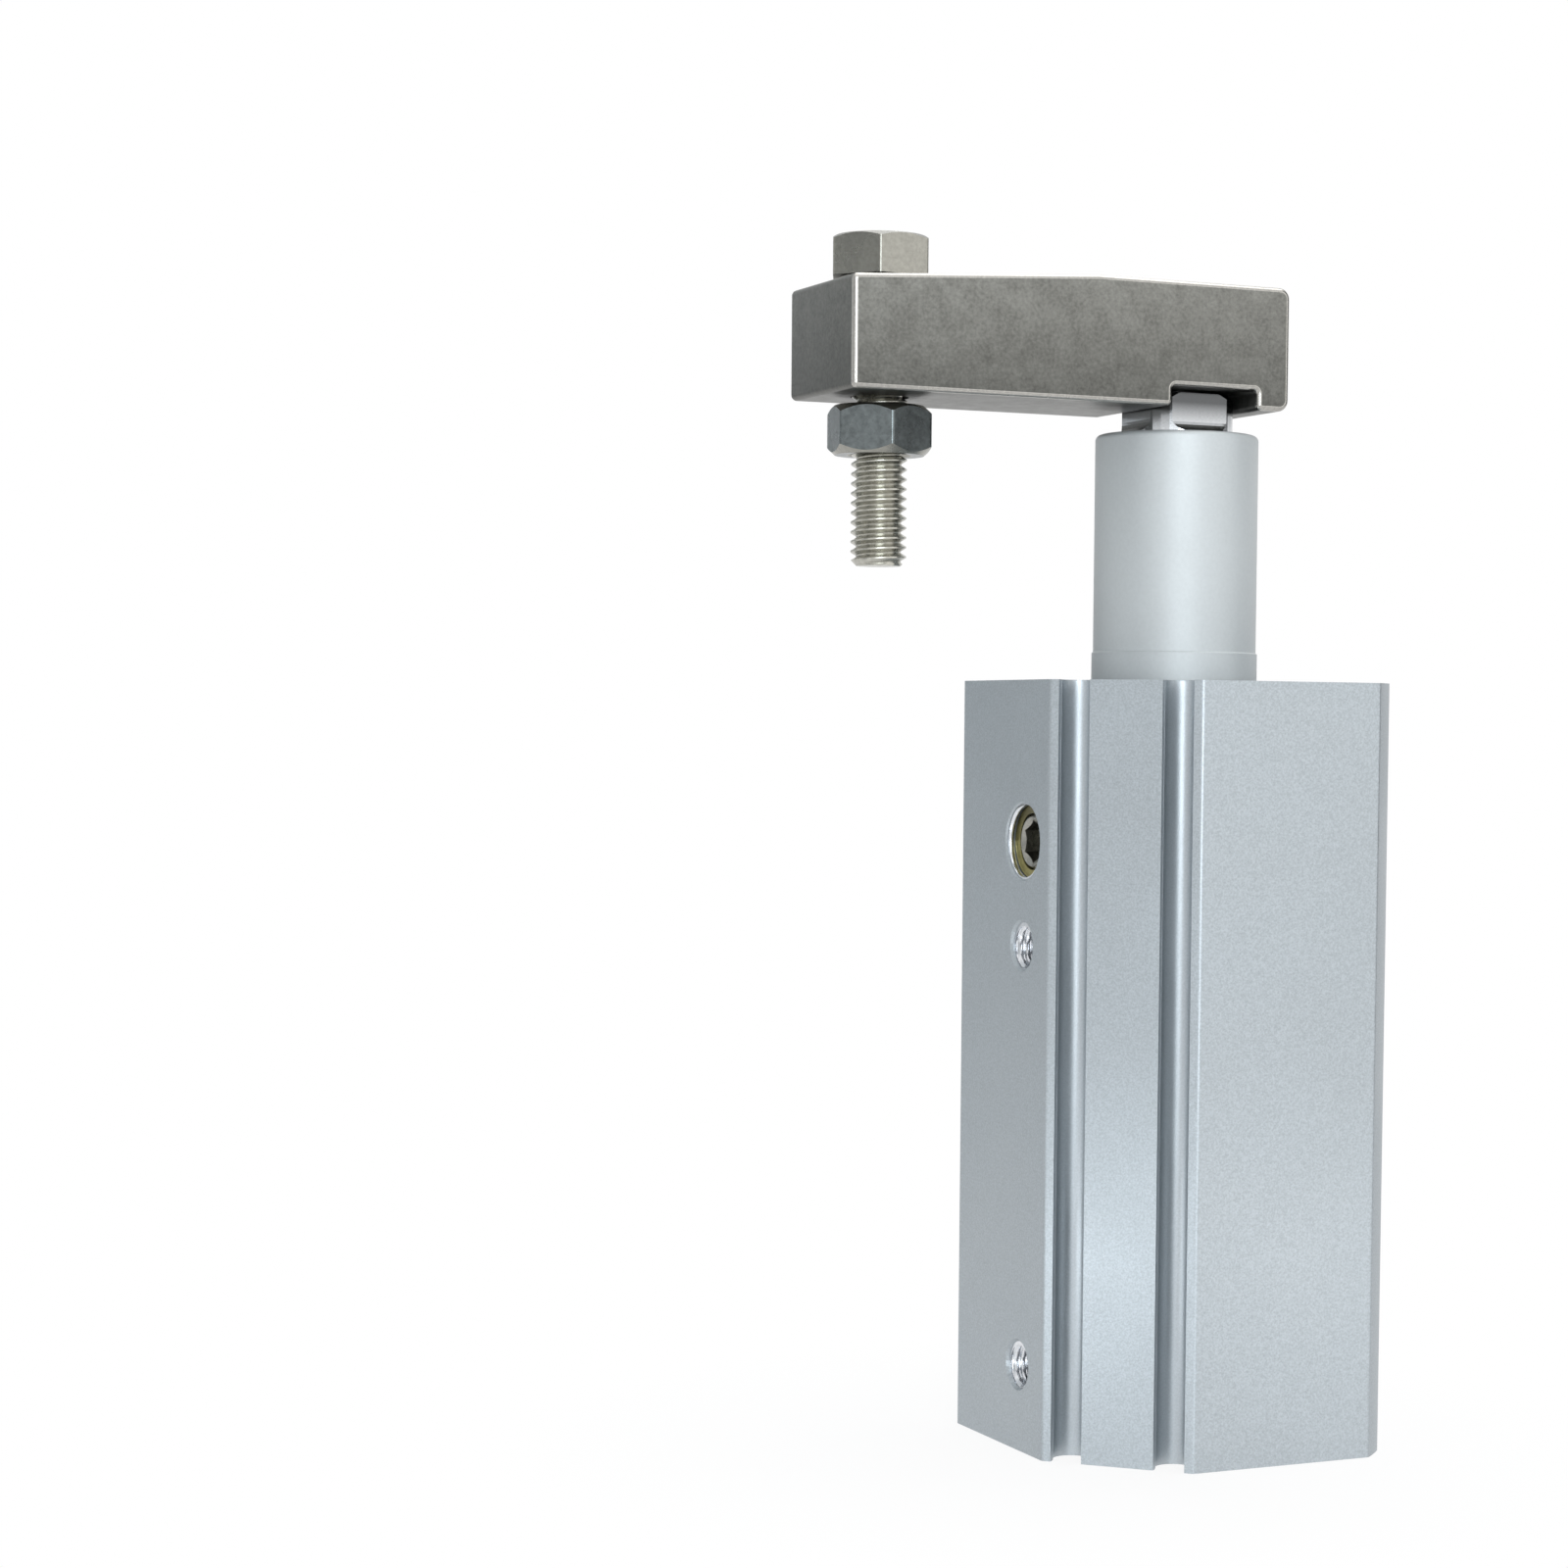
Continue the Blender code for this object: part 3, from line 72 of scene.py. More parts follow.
# Threads: pitch, radii, and how far from the rod's axis a tapped hole's thread starts and ends
BOLT_PITCH, BOLT_ROOT, BOLT_CREST, BOLT_TIP_CONE = 0.001, 0.00232, 0.00290, 0.0006
PORT_PITCH, PORT_CREST, PORT_RADIUS, PORT_ENDS = 0.0008, 0.00208, 0.00248, (0.0131, 0.01765)
GUIDE_PITCH, GUIDE_CREST, GUIDE_ENDS = 0.00075, 0.0038, (0.0171, 0.0177)

SKIN = 0.000004                # how far a skin stands off its solid
SAME = 1e-7                    # places that lie closer than this are one place
SHARP = math.radians(30)       # edges that turn by more than this stay sharp


# Materials

def shader_for(name, colour, roughness, metallic):
    material = bpy.data.materials.new(name)
    material.use_nodes = True
    shader = material.node_tree.nodes["Principled BSDF"]
    shader.inputs["Base Color"].default_value = (*colour, 1.0)
    shader.inputs["Roughness"].default_value = roughness
    shader.inputs["Metallic"].default_value = metallic
    return material, shader


def add_node(material, kind, operation=None):
    node = material.node_tree.nodes.new(kind)
    if operation:
        node.operation = operation
    return node


def link(material, source, output, target, socket):
    material.node_tree.links.new(source.outputs[output], target.inputs[socket])


def object_coords(material, scale=(1, 1, 1)):
    """Object coordinates in metres, stretched where a finish runs in one direction."""
    coords = add_node(material, "ShaderNodeTexCoord")
    mapping = add_node(material, "ShaderNodeMapping")
    mapping.inputs["Scale"].default_value = scale
    link(material, coords, "Object", mapping, "Vector")
    return mapping


def noise(material, coords, scale, detail, roughness):
    node = add_node(material, "ShaderNodeTexNoise")
    node.inputs["Scale"].default_value = scale
    node.inputs["Detail"].default_value = detail
    node.inputs["Roughness"].default_value = roughness
    link(material, coords, "Vector", node, "Vector")
    return node


def ramp(material, source, output, stops):
    """Colour ramp from (place, colour) stops."""
    node = add_node(material, "ShaderNodeValToRGB")
    elements = node.color_ramp.elements
    while len(elements) < len(stops):
        elements.new(0.5)
    for element, (place, colour) in zip(elements, stops):
        element.position = place
        element.color = (*colour, 1.0)
    link(material, source, output, node, "Fac")
    return node


def spread(material, source, output, low, high):
    """Maps a noise value around 0.5 to the range low..high."""
    node = add_node(material, "ShaderNodeMapRange")
    node.inputs["From Min"].default_value = 0.3
    node.inputs["From Max"].default_value = 0.7
    node.inputs["To Min"].default_value = low
    node.inputs["To Max"].default_value = high
    link(material, source, output, node, "Value")
    return node


def bump(material, shader, source, output, strength, distance):
    node = add_node(material, "ShaderNodeBump")
    node.inputs["Strength"].default_value = strength
    node.inputs["Distance"].default_value = distance
    link(material, source, output, node, "Height")
    link(material, node, "Normal", shader, "Normal")


def paint_light_by_height(material, shader, tone, height, full_height, share):
    """Feeds a tone to the shader, scaled from share at one height to its full value at the other: painted
    shade where share is below 1, painted light where it is above.
    """
    coords = add_node(material, "ShaderNodeTexCoord")
    axes = add_node(material, "ShaderNodeSeparateXYZ")
    link(material, coords, "Object", axes, "Vector")
    level = add_node(material, "ShaderNodeMapRange")
    level.inputs["From Min"].default_value = height
    level.inputs["From Max"].default_value = full_height
    level.inputs["To Min"].default_value = share
    level.inputs["To Max"].default_value = 1.0
    link(material, axes, "Z", level, "Value")
    scaled = add_node(material, "ShaderNodeVectorMath", operation="SCALE")
    link(material, tone, "Color", scaled, 0)
    link(material, level, "Result", scaled, "Scale")
    link(material, scaled, "Vector", shader, "Base Color")


def grained(name, colour, roughness, metallic, grain, tint=0.06, depth=0.00002, strength=0.3,
            stretch=(1, 1, 1), mottle=60.0, cloud=0.3, fall=None):
    """Metal or plastic with a fine grain in its colour, gloss and relief, and a slow mottle.

    cloud is the mottle's share in the tone. fall is painted light and shade by height, given as (height,
    full_height, share): the tone goes from that share at the first height to its full value at the second."""
    material, shader = shader_for(name, colour, roughness, metallic)
    coords = object_coords(material, stretch)
    fine = noise(material, coords, grain, 3.0, 0.6)
    slow = noise(material, object_coords(material), mottle, 3.0, 0.55)
    darker = tuple(value * (1 - tint) for value in colour)
    lighter = tuple(min(1.0, value * (1 + tint)) for value in colour)
    mix = add_node(material, "ShaderNodeMix")
    mix.inputs["Factor"].default_value = cloud
    link(material, fine, "Fac", mix, "A")
    link(material, slow, "Fac", mix, "B")
    tone = ramp(material, mix, "Result", [(0.35, darker), (0.65, lighter)])
    if fall:
        paint_light_by_height(material, shader, tone, *fall)
    else:
        link(material, tone, "Color", shader, "Base Color")
    gloss = spread(material, slow, "Fac", roughness * 0.88, roughness * 1.12)
    link(material, gloss, "Result", shader, "Roughness")
    bump(material, shader, fine, "Fac", strength, depth)
    return material


def dress(names, material):
    for name in names:
        data = nodes[name].data
        data.materials.clear()
        data.materials.append(material)


anodised = grained("anodised", (0.410, 0.447, 0.473), 0.42, 0.85, 5200, tint=0.13, depth=0.00003,
                   strength=0.30, cloud=0.12)
coated = grained("coated_sleeve", (0.52, 0.545, 0.55), 0.50, 0.24, 2600, tint=0.03, depth=0.00001,
                 strength=0.15)
# Groove walls: glossier, as the extrusion leaves them, and a slightly lighter base than the faces, painted
# light that lifts the shade inside the grooves.
groove_metal = grained("anodised_groove", (0.44, 0.475, 0.50), 0.36, 0.85, 5200, tint=0.08, depth=0.00001)
tapped_metal = grained("tapped_aluminium", (0.74, 0.76, 0.79), 0.22, 1.0, 2500, tint=0.06, depth=0.00001)
# Painted shade: the arm's tone falls to 0.62 of its value towards its bottom, from 0.124 m down to 0.112 m.
arm_metal_painted_shade = grained("nickel_arm_painted_shade", (0.195, 0.195, 0.180), 0.38, 0.9, 2600, tint=0.27, depth=0.00003,
                    strength=0.5, mottle=520, cloud=0.45, fall=(0.1120, 0.1240, 0.62))
# Painted highlight: a lighter, glossier copy of the arm's metal for its rounded edges.
arm_edge_painted_highlight = grained("nickel_edge_painted_highlight", (0.42, 0.41, 0.385), 0.26, 1.0, 2600, tint=0.10, depth=0.00001)
fastener = grained("bright_stainless", (0.33, 0.325, 0.295), 0.27, 1.0, 2200, tint=0.10, depth=0.00001,
                   mottle=300)
# Painted light: below the head the bolt's tone rises to 1.55 times its value, fully so from 0.1125 m down.
bolt_metal_painted_light = grained("stainless_bolt_painted_light", (0.30, 0.295, 0.265), 0.27, 1.0, 2200, tint=0.12, depth=0.00001,
                     mottle=300, fall=(0.1125, 0.1235, 1.55))
nut_metal = grained("nut", (0.145, 0.163, 0.166), 0.28, 1.0, 1800, tint=0.25, depth=0.00001, mottle=400)
# Painted shade: the rod's tone falls to 0.16 of its value from 0.1092 m up to 0.1122 m, where it runs under
# the arm.
chrome = grained("ground_chrome", (0.62, 0.64, 0.66), 0.14, 1.0, 3000, tint=0.10, depth=0.000004,
                 stretch=(1, 1, 6), fall=(0.1122, 0.1092, 0.16))
machined = grained("machined_aluminium", (0.62, 0.63, 0.64), 0.32, 1.0, 2500, tint=0.06, depth=0.00001)
spring = grained("spring_steel", (0.16, 0.16, 0.16), 0.38, 1.0, 2500, tint=0.12, depth=0.00001)
black = grained("black_oxide", (0.045, 0.045, 0.045), 0.42, 0.7, 2600, tint=0.20, depth=0.00001)
bronze = grained("sintered_bronze", (0.42, 0.30, 0.13), 0.38, 1.0, 3800, tint=0.18, depth=0.00001)
# Painted shade: the ring's tone falls to 0.30 of its value over its top, from 0.063 m up to 0.068 m.
seal_ring = grained("yellow_ring", (0.36, 0.32, 0.13), 0.32, 0.9, 2400, tint=0.14, depth=0.00001,
                    fall=(0.0680, 0.0630, 0.30))
rubber = grained("seal_rubber", (0.025, 0.025, 0.026), 0.6, 0.0, 4000, tint=0.25, depth=0.00001)
elastomer = grained("bumper", (0.09, 0.08, 0.07), 0.55, 0.0, 3000, tint=0.15, depth=0.00001)
resin = grained("wear_ring", (0.30, 0.25, 0.18), 0.5, 0.0, 3000, tint=0.12, depth=0.00001)
magnet = grained("bonded_magnet", (0.10, 0.10, 0.10), 0.6, 0.1, 3500, tint=0.2, depth=0.00001)


def finish_piece(name, bm, material, body):
    """Turns a finished bmesh into a piece that rides on a CAD body."""
    bmesh.ops.recalc_face_normals(bm, faces=bm.faces)
    mesh = bpy.data.meshes.new(name)
    bm.to_mesh(mesh)
    bm.free()
    mesh.materials.append(material)
    mesh.shade_smooth()
    mesh.set_sharp_from_angle(angle=SHARP)
    piece = bpy.data.objects.new(name, mesh)
    bpy.context.scene.collection.objects.link(piece)
    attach(piece, body)
    return piece


# Threads and hexagons, modelled at their real pitch

# Height of the thread, 0 at its root and 1 at its crest, at places in one pitch
THREAD_SHAPE = ((0.00, 1.0), (0.06, 1.0), (0.12, 0.97), (0.28, 0.5), (0.44, 0.06), (0.53, 0.0),
                (0.62, 0.06), (0.78, 0.5), (0.94, 0.97))


def rim_edges(bm, height):
    """Open edges of a surface at one height."""
    return [edge for edge in bm.edges if edge.is_boundary
            and all(abs(vert.co.z - height) < SAME for vert in edge.verts)]


def add_helix(bm, root, crest, pitch, low, high, end_cone, columns=72):
    """Adds a helical surface about Z from low to high, open at both ends.

    end_cone is how far the thread is turned down at its low end."""
    first = math.floor(low / pitch) - 1
    last = math.ceil(high / pitch) + 1
    rows = []
    for turn in range(first, last + 1):
        for phase, share in THREAD_SHAPE:
            row = []
            for column in range(columns):
                angle = math.tau * column / columns
                z = (turn + phase + column / columns) * pitch
                radius = min(root + (crest - root) * share, crest - end_cone + max(0.0, z - low))
                row.append(bm.verts.new((radius * math.cos(angle), radius * math.sin(angle), z)))
            rows.append(row)
    step = len(THREAD_SHAPE)
    for index in range(len(rows) - 1):
        for column in range(columns - 1):
            bm.faces.new((rows[index][column], rows[index][column + 1],
                          rows[index + 1][column + 1], rows[index + 1][column]))
        if index + step + 1 < len(rows):
            bm.faces.new((rows[index][columns - 1], rows[index + step][0],
                          rows[index + step + 1][0], rows[index + 1][columns - 1]))
    for height, normal in ((low, (0, 0, -1)), (high, (0, 0, 1))):
        bmesh.ops.bisect_plane(bm, geom=bm.verts[:] + bm.edges[:] + bm.faces[:], plane_co=(0, 0, height),
                               plane_no=normal, clear_outer=True)


def ring(bm, radii, heights, angles):
    """Adds one ring of points. radii and heights are one number each, or a list with one for each angle."""
    if not isinstance(radii, list):
        radii = [radii] * len(angles)
    if not isinstance(heights, list):
        heights = [heights] * len(angles)
    return [bm.verts.new((radius * math.cos(angle), radius * math.sin(angle), height))
            for angle, radius, height in zip(angles, radii, heights)]


def stitch(bm, lower, upper):
    """Joins two rings of as many points with a band of faces."""
    count = len(lower)
    for index in range(count):
        beside = (index + 1) % count
        bm.faces.new((lower[index], lower[beside], upper[beside], upper[index]))


# Degrees from the middle of a flat at which a hexagon has its columns, closer at its corners
HEX_OFFSETS = (-30, -29.3, -28.6, -27.8, -26.6, -24, -16, -8, 0, 8, 16, 24, 26.6, 27.8, 28.6, 29.3)
CORNER_SHARPNESS = 90


def hex_columns(turn):
    """Angles round a hexagon and its radius at each, with slightly rounded corners."""
    angles, radii = [], []
    for sector in range(6):
        for offset in HEX_OFFSETS:
            angles.append(turn + math.radians(60 * sector + 30 + offset))
            near = math.radians(offset)
            total = sum(max(0.0, math.cos(near + math.radians(60 * side))) ** CORNER_SHARPNESS
                        for side in (-1, 0, 1))
            radii.append(HEX_FLATS / 2 / total ** (1 / CORNER_SHARPNESS))
    return angles, radii


def hex_rings(bm, low, high, turn, crown_share, slope, chamfer_low):
    """Adds the sides of a hexagon, chamfered at the top and perhaps at the bottom.

    slope is the chamfer's in degrees. Returns the crown circles at both ends and the columns' angles."""
    angles, radii = hex_columns(turn)
    crown = HEX_FLATS / 2 * crown_share
    fall = math.tan(math.radians(slope))
    drops = [max(0.0, radius - crown) * fall for radius in radii]
    low_rim = [low + drop for drop in drops] if chamfer_low else low
    high_rim = [high - drop for drop in drops]
    rings = [ring(bm, crown, low, angles), ring(bm, radii, low_rim, angles),
             ring(bm, radii, high_rim, angles), ring(bm, crown, high, angles)]
    for lower, upper in zip(rings, rings[1:]):
        stitch(bm, lower, upper)
    return rings[0], rings[-1], angles


def dress_chamfers(piece, material, bottom):
    """Gives the sloped faces of a hexagon above bottom a material of their own: painted shade on the bolt's
    top chamfer, painted highlight on the nut's chamfers and mouths.
    """
    piece.data.materials.append(material)
    for face in piece.data.polygons:
        if face.center.z > bottom and 0.2 < abs(face.normal.z) < 0.95:
            face.material_index = 1


def build_bolt(material, painted_chamfer_material):
    """Hexagon bolt with its washer face and its thread, and painted shade on its top chamfer."""
    low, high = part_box("clamp_bolt")
    head_bottom = BOLT_SEAT + 0.00015
    washer_top_radius, washer_radius, neck_radius, dish_radius = 0.00420, 0.00415, 0.00285, 0.0036
    neck_low, thread_top, dish_depth = BOLT_SEAT - 0.002, BOLT_SEAT - 0.0022, 0.00006
    bm = bmesh.new()
    bottom, top, angles = hex_rings(bm, head_bottom, high.z, BOLT_TURN, 0.965, 30, False)
    rings = [bottom]
    for radius, height in ((washer_top_radius, head_bottom), (washer_radius, BOLT_SEAT),
                           (neck_radius, BOLT_SEAT), (neck_radius, neck_low)):
        rings.append(ring(bm, radius, height, angles))
    for upper, lower in zip(rings, rings[1:]):
        stitch(bm, upper, lower)
    dish = ring(bm, dish_radius, high.z - dish_depth, angles)
    stitch(bm, top, dish)
    bm.faces.new(dish)
    bmesh.ops.bridge_loops(bm, edges=edges_between(rings[-1]) + add_shank(bm, low.z, thread_top))
    for vert in bm.verts:
        vert.co.x += BOLT_X
    piece = finish_piece("bolt_with_thread", bm, material, "rod_and_arm")
    dress_chamfers(piece, painted_chamfer_material, head_bottom)
    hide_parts("clamp_bolt")


def edges_between(verts):
    """Edges of a closed ring of points."""
    chosen = set(verts)
    return list({edge for vert in verts for edge in vert.link_edges
                 if edge.verts[0] in chosen and edge.verts[1] in chosen})


def add_shank(bm, low, high):
    """Adds a threaded shank with a closed tip and returns the edges of its open top."""
    shank = bmesh.new()
    add_helix(shank, BOLT_ROOT, BOLT_CREST, BOLT_PITCH, low, high, BOLT_TIP_CONE)
    bmesh.ops.contextual_create(shank, geom=rim_edges(shank, low))
    mesh = bpy.data.meshes.new("shank")
    shank.to_mesh(mesh)
    shank.free()
    bm.from_mesh(mesh)
    bpy.data.meshes.remove(mesh)
    return rim_edges(bm, high)


def build_nut(material, painted_chamfer_material):
    """Hexagon nut, chamfered on both ends, with its tapped hole's mouth, and a painted highlight on its
    chamfers and mouths.
    """
    low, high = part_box("lock_nut")
    bm = bmesh.new()
    bottom, top, angles = hex_rings(bm, low.z, high.z, NUT_TURN, 0.95, 42, True)
    mouth_radius, hole_radius, mouth_depth = 0.0034, 0.00305, 0.0004
    rings = [bottom]
    for radius, z in ((mouth_radius, low.z), (hole_radius, low.z + mouth_depth),
                      (hole_radius, high.z - mouth_depth), (mouth_radius, high.z)):
        rings.append(ring(bm, radius, z, angles))
    rings.append(top)
    for outer, inner in zip(rings, rings[1:]):
        stitch(bm, outer, inner)
    for vert in bm.verts:
        vert.co.x += BOLT_X
    piece = finish_piece("nut_with_chamfers", bm, material, "rod_and_arm")
    dress_chamfers(piece, painted_chamfer_material, low.z)
    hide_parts("lock_nut")


def thread_share(place):
    """Height of the thread, 0 at its root and 1 at its crest, at a place in its pitch from 0 to 1."""
    shape = THREAD_SHAPE + ((1.0, 1.0),)
    for (start, low), (end, high) in zip(shape, shape[1:]):
        if place <= end:
            return low + (high - low) * (place - start) / (end - start)


def build_tapped_lining(name, height, crest, outer, pitch, ends, material):
    """Thread inside a hole of the port face, as a lining that follows the hole."""
    thinnest, columns, rows_per_turn = 0.00004, 60, 10
    inner_end, outer_end = ends
    bm = bmesh.new()
    root = outer - thinnest
    angles = [math.tau * column / columns for column in range(columns)]
    rows = round((outer_end - inner_end) / pitch * rows_per_turn)
    rings = []
    for row in range(rows + 1):
        z = inner_end + (outer_end - inner_end) * row / rows
        shares = [thread_share((z / pitch - angle / math.tau) % 1) for angle in angles]
        rings.append(ring(bm, [root + (crest - root) * share for share in shares], z, angles))
    rings += [ring(bm, outer, outer_end, angles), ring(bm, outer, inner_end, angles)]
    for lower, upper in zip(rings, rings[1:] + rings[:1]):
        stitch(bm, lower, upper)
    turn = Matrix.Translation((AXIS_X, 0, height)) @ Matrix.Rotation(-math.pi / 2, 4, "Y")
    bmesh.ops.transform(bm, matrix=turn, verts=bm.verts)
    finish_piece(name, bm, material, "barrel")


# Smooth skins and linings over the solids' facets

def revolve(name, profile, material, body, place=(AXIS_X, 0, 0), steps=160):
    """Closed ring made by turning a closed outline of (radius, height) points about Z."""
    bm = bmesh.new()
    angles = [math.tau * step / steps for step in range(steps)]
    rings = [ring(bm, radius, height, angles) for radius, height in profile]
    for lower, upper in zip(rings, rings[1:] + rings[:1]):
        stitch(bm, lower, upper)
    bmesh.ops.transform(bm, matrix=Matrix.Translation(place), verts=bm.verts)
    finish_piece(name, bm, material, body)


def arc(centre, radius, start, end, steps):
    """Points of an arc between two angles."""
    angles = [start + (end - start) * step / steps for step in range(steps + 1)]
    return [(centre[0] + radius * math.cos(angle), centre[1] + radius * math.sin(angle))
            for angle in angles]


def build_sleeve_skin(material):
    """Outside of the rod cover's sleeve, with its band and its rounded rim."""
    sleeve, band, top = SLEEVE_RADIUS + SKIN, BAND_RADIUS + SKIN, SLEEVE_TOP + SKIN
    foot, band_top, sleeve_foot = BARREL_TOP + 0.0001, BARREL_TOP + 0.00305, BARREL_TOP + 0.0032
    inner, mouth, rounding = 0.0085, 0.0081, 0.0006
    profile = [(inner, foot), (band, foot), (band, band_top), (sleeve, sleeve_foot)]
    profile += arc((sleeve - rounding, top - rounding), rounding, 0, math.pi / 2, 10)
    profile += [(mouth, top), (mouth, top - 0.0006), (inner, top - 0.001)]
    revolve("sleeve_skin", profile, material, "barrel")


def build_rod_skin(material):
    """Ground outside of the rod between its cam groove and its flats."""
    inner, outer = ROD_RADIUS - 0.0002, ROD_RADIUS + SKIN
    low, high = 0.0690, SLEEVE_TOP - 0.0002
    revolve("rod_skin", [(inner, low), (outer, low), (outer, high), (inner, high)],
            material, "rod_and_arm")


def filleted(corners, steps=8):
    """Outline of (x, z, radius) corners with each corner rounded to its radius."""
    outline = []
    for index, (x, z, radius) in enumerate(corners):
        corner = Vector((x, z))
        if not radius:
            outline.append((x, z))
            continue
        before = (Vector(corners[index - 1][:2]) - corner).normalized()
        after = (Vector(corners[(index + 1) % len(corners)][:2]) - corner).normalized()
        half = before.angle(after) / 2
        centre = corner + (before + after).normalized() * radius / math.sin(half)
        first = corner + before * radius / math.tan(half) - centre
        last = corner + after * radius / math.tan(half) - centre
        begin = math.atan2(first.y, first.x)
        sweep = (math.atan2(last.y, last.x) - begin + math.pi) % math.tau - math.pi
        outline += arc(tuple(centre), radius, begin, begin + sweep, steps)
    return outline


def cut_round(target, name, profile, place):
    """Cuts a turned hole out of a piece by a modifier and returns the cutter."""
    tool = revolve_solid(name, profile, place)
    modifier = target.modifiers.new(name, "BOOLEAN")
    modifier.operation = "DIFFERENCE"
    modifier.solver = "EXACT"
    modifier.object = tool
    return tool


def revolve_solid(name, profile, place, steps=96):
    """Solid made by turning an outline of (radius, height) points, closed by flat ends."""
    bm = bmesh.new()
    angles = [math.tau * step / steps for step in range(steps)]
    rings = [ring(bm, radius, height, angles) for radius, height in profile]
    for lower, upper in zip(rings, rings[1:]):
        stitch(bm, lower, upper)
    bm.faces.new(rings[0])
    bm.faces.new(rings[-1])
    bmesh.ops.recalc_face_normals(bm, faces=bm.faces)
    mesh = bpy.data.meshes.new(name)
    bm.to_mesh(mesh)
    bm.free()
    tool = bpy.data.objects.new(name, mesh)
    tool.location = place
    bpy.context.scene.collection.objects.link(tool)
    return tool


def arm_outline(bottom, top):
    """Front view of the clamp arm, with X from the rod's axis, starting at the tip's lower corner."""
    tip, tip_top, slope, back = -0.0416, bottom + 0.0115, -0.0140, 0.0090
    slot, slot_top = 0.0051, bottom + 0.0021
    edge, slot_edge, back_edge = 0.0006, 0.0004, 0.0012
    return filleted([(tip, bottom, edge), (-slot, bottom, edge), (-slot, slot_top, slot_edge),
                     (slot, slot_top, slot_edge), (slot, bottom, edge), (back, bottom, back_edge),
                     (back, top, back_edge), (slope, top, 0), (tip, tip_top, edge)])


def extruded(outline, half_width):
    """Block of an outline in XZ, whose edges round the front and the back are marked for rounding."""
    bm = bmesh.new()
    face = bm.faces.new([bm.verts.new((x, -half_width, z)) for x, z in outline])
    grown = bmesh.ops.extrude_face_region(bm, geom=[face])["geom"]
    bmesh.ops.translate(bm, verts=[part for part in grown if isinstance(part, bmesh.types.BMVert)],
                        vec=(0, 2 * half_width, 0))
    weights = bm.edges.layers.float.new("bevel_weight_edge")
    for edge in bm.edges:
        across = abs(edge.verts[1].co.y - edge.verts[0].co.y) > half_width
        edge[weights] = 0.0 if across else 1.0
    return bm


def round_marked_edges(piece, radius, edge_highlight_material):
    piece.data.materials.append(edge_highlight_material)
    rounding = piece.modifiers.new("edges", "BEVEL")
    rounding.limit_method = "WEIGHT"
    rounding.width = radius
    rounding.segments = 8
    # The rounded edges take the second material, the painted highlight.
    rounding.material = 1
    rounding.use_clamp_overlap = False


def apply_modifiers(piece, tools):
    """Makes a piece's modifiers final and removes the cutters that they used."""
    bpy.context.view_layer.update()
    shaped = bpy.data.meshes.new_from_object(piece.evaluated_get(bpy.context.evaluated_depsgraph_get()))
    piece.modifiers.clear()
    piece.data = shaped
    for tool in tools:
        bpy.data.objects.remove(tool)
    shaped.shade_smooth()
    shaped.set_sharp_from_angle(angle=SHARP)


def build_arm(material, edge_highlight_material):
    """Clamp arm with finely rounded edges, painted lighter as a highlight, and its two sunk holes."""
    low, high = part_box("clamp_arm")
    bottom, top = low.z, high.z
    bm = extruded(arm_outline(bottom, top), 0.0085)
    piece = finish_piece("arm_block", bm, material, "rod_and_arm")
    for vert in piece.data.vertices:
        vert.co.x += AXIS_X
    round_marked_edges(piece, 0.0005, edge_highlight_material)
    above, below = top + 0.001, bottom - 0.001
    screw_hole, screw_sink, screw_seat = 0.0031, 0.0055, top - 0.0064
    bolt_hole, bolt_sink, bolt_seat = 0.00305, 0.0056, top - 0.0013
    screw_profile = [(screw_hole, bottom), (screw_hole, screw_seat), (screw_sink, screw_seat),
                     (screw_sink, above)]
    bolt_profile = [(bolt_hole, below), (bolt_hole, bolt_seat), (bolt_sink, bolt_seat), (bolt_sink, above)]
    apply_modifiers(piece, [cut_round(piece, "sink", screw_profile, (AXIS_X, 0, 0)),
                            cut_round(piece, "bolt_hole", bolt_profile, (BOLT_X, 0, 0))])
    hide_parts("clamp_arm")


def build_groove_linings(material):
    """Round walls of the switch grooves, just proud of the solid's facets."""
    behind, proud, end_gap, steps = 0.00003, 0.00002, 0.0001, 64
    neck = math.sqrt(GROOVE_RADIUS ** 2 - (GROOVE_MOUTH / 2) ** 2)
    start = math.atan2(neck, -GROOVE_MOUTH / 2)
    end = math.atan2(neck, GROOVE_MOUTH / 2) + math.tau
    low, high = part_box("cylinder_body")
    for corner, turn in (("near", 135), ("far", -45)):
        for side in (-1, 1):
            centre = (side * GROOVE_PITCH / 2, BEVEL_DISTANCE - GROOVE_DEPTH + GROOVE_RADIUS)
            outline = arc(centre, GROOVE_RADIUS + behind, start, end, steps)
            outline += reversed(arc(centre, GROOVE_RADIUS - proud, start, end, steps))
            bm = bmesh.new()
            loops = [[bm.verts.new((x, y, z)) for x, y in outline]
                     for z in (low.z + end_gap, high.z - end_gap)]
            stitch(bm, loops[0], loops[1])
            half = len(outline) // 2
            for loop in loops:
                for index in range(half - 1):
                    bm.faces.new((loop[index], loop[index + 1], loop[-2 - index], loop[-1 - index]))
            matrix = Matrix.Translation((AXIS_X, 0, 0)) @ Matrix.Rotation(math.radians(turn), 4, "Z")
            bmesh.ops.transform(bm, matrix=matrix, verts=bm.verts)
            finish_piece(f"{corner}_groove_lining_{side + 2}", bm, material, "barrel")


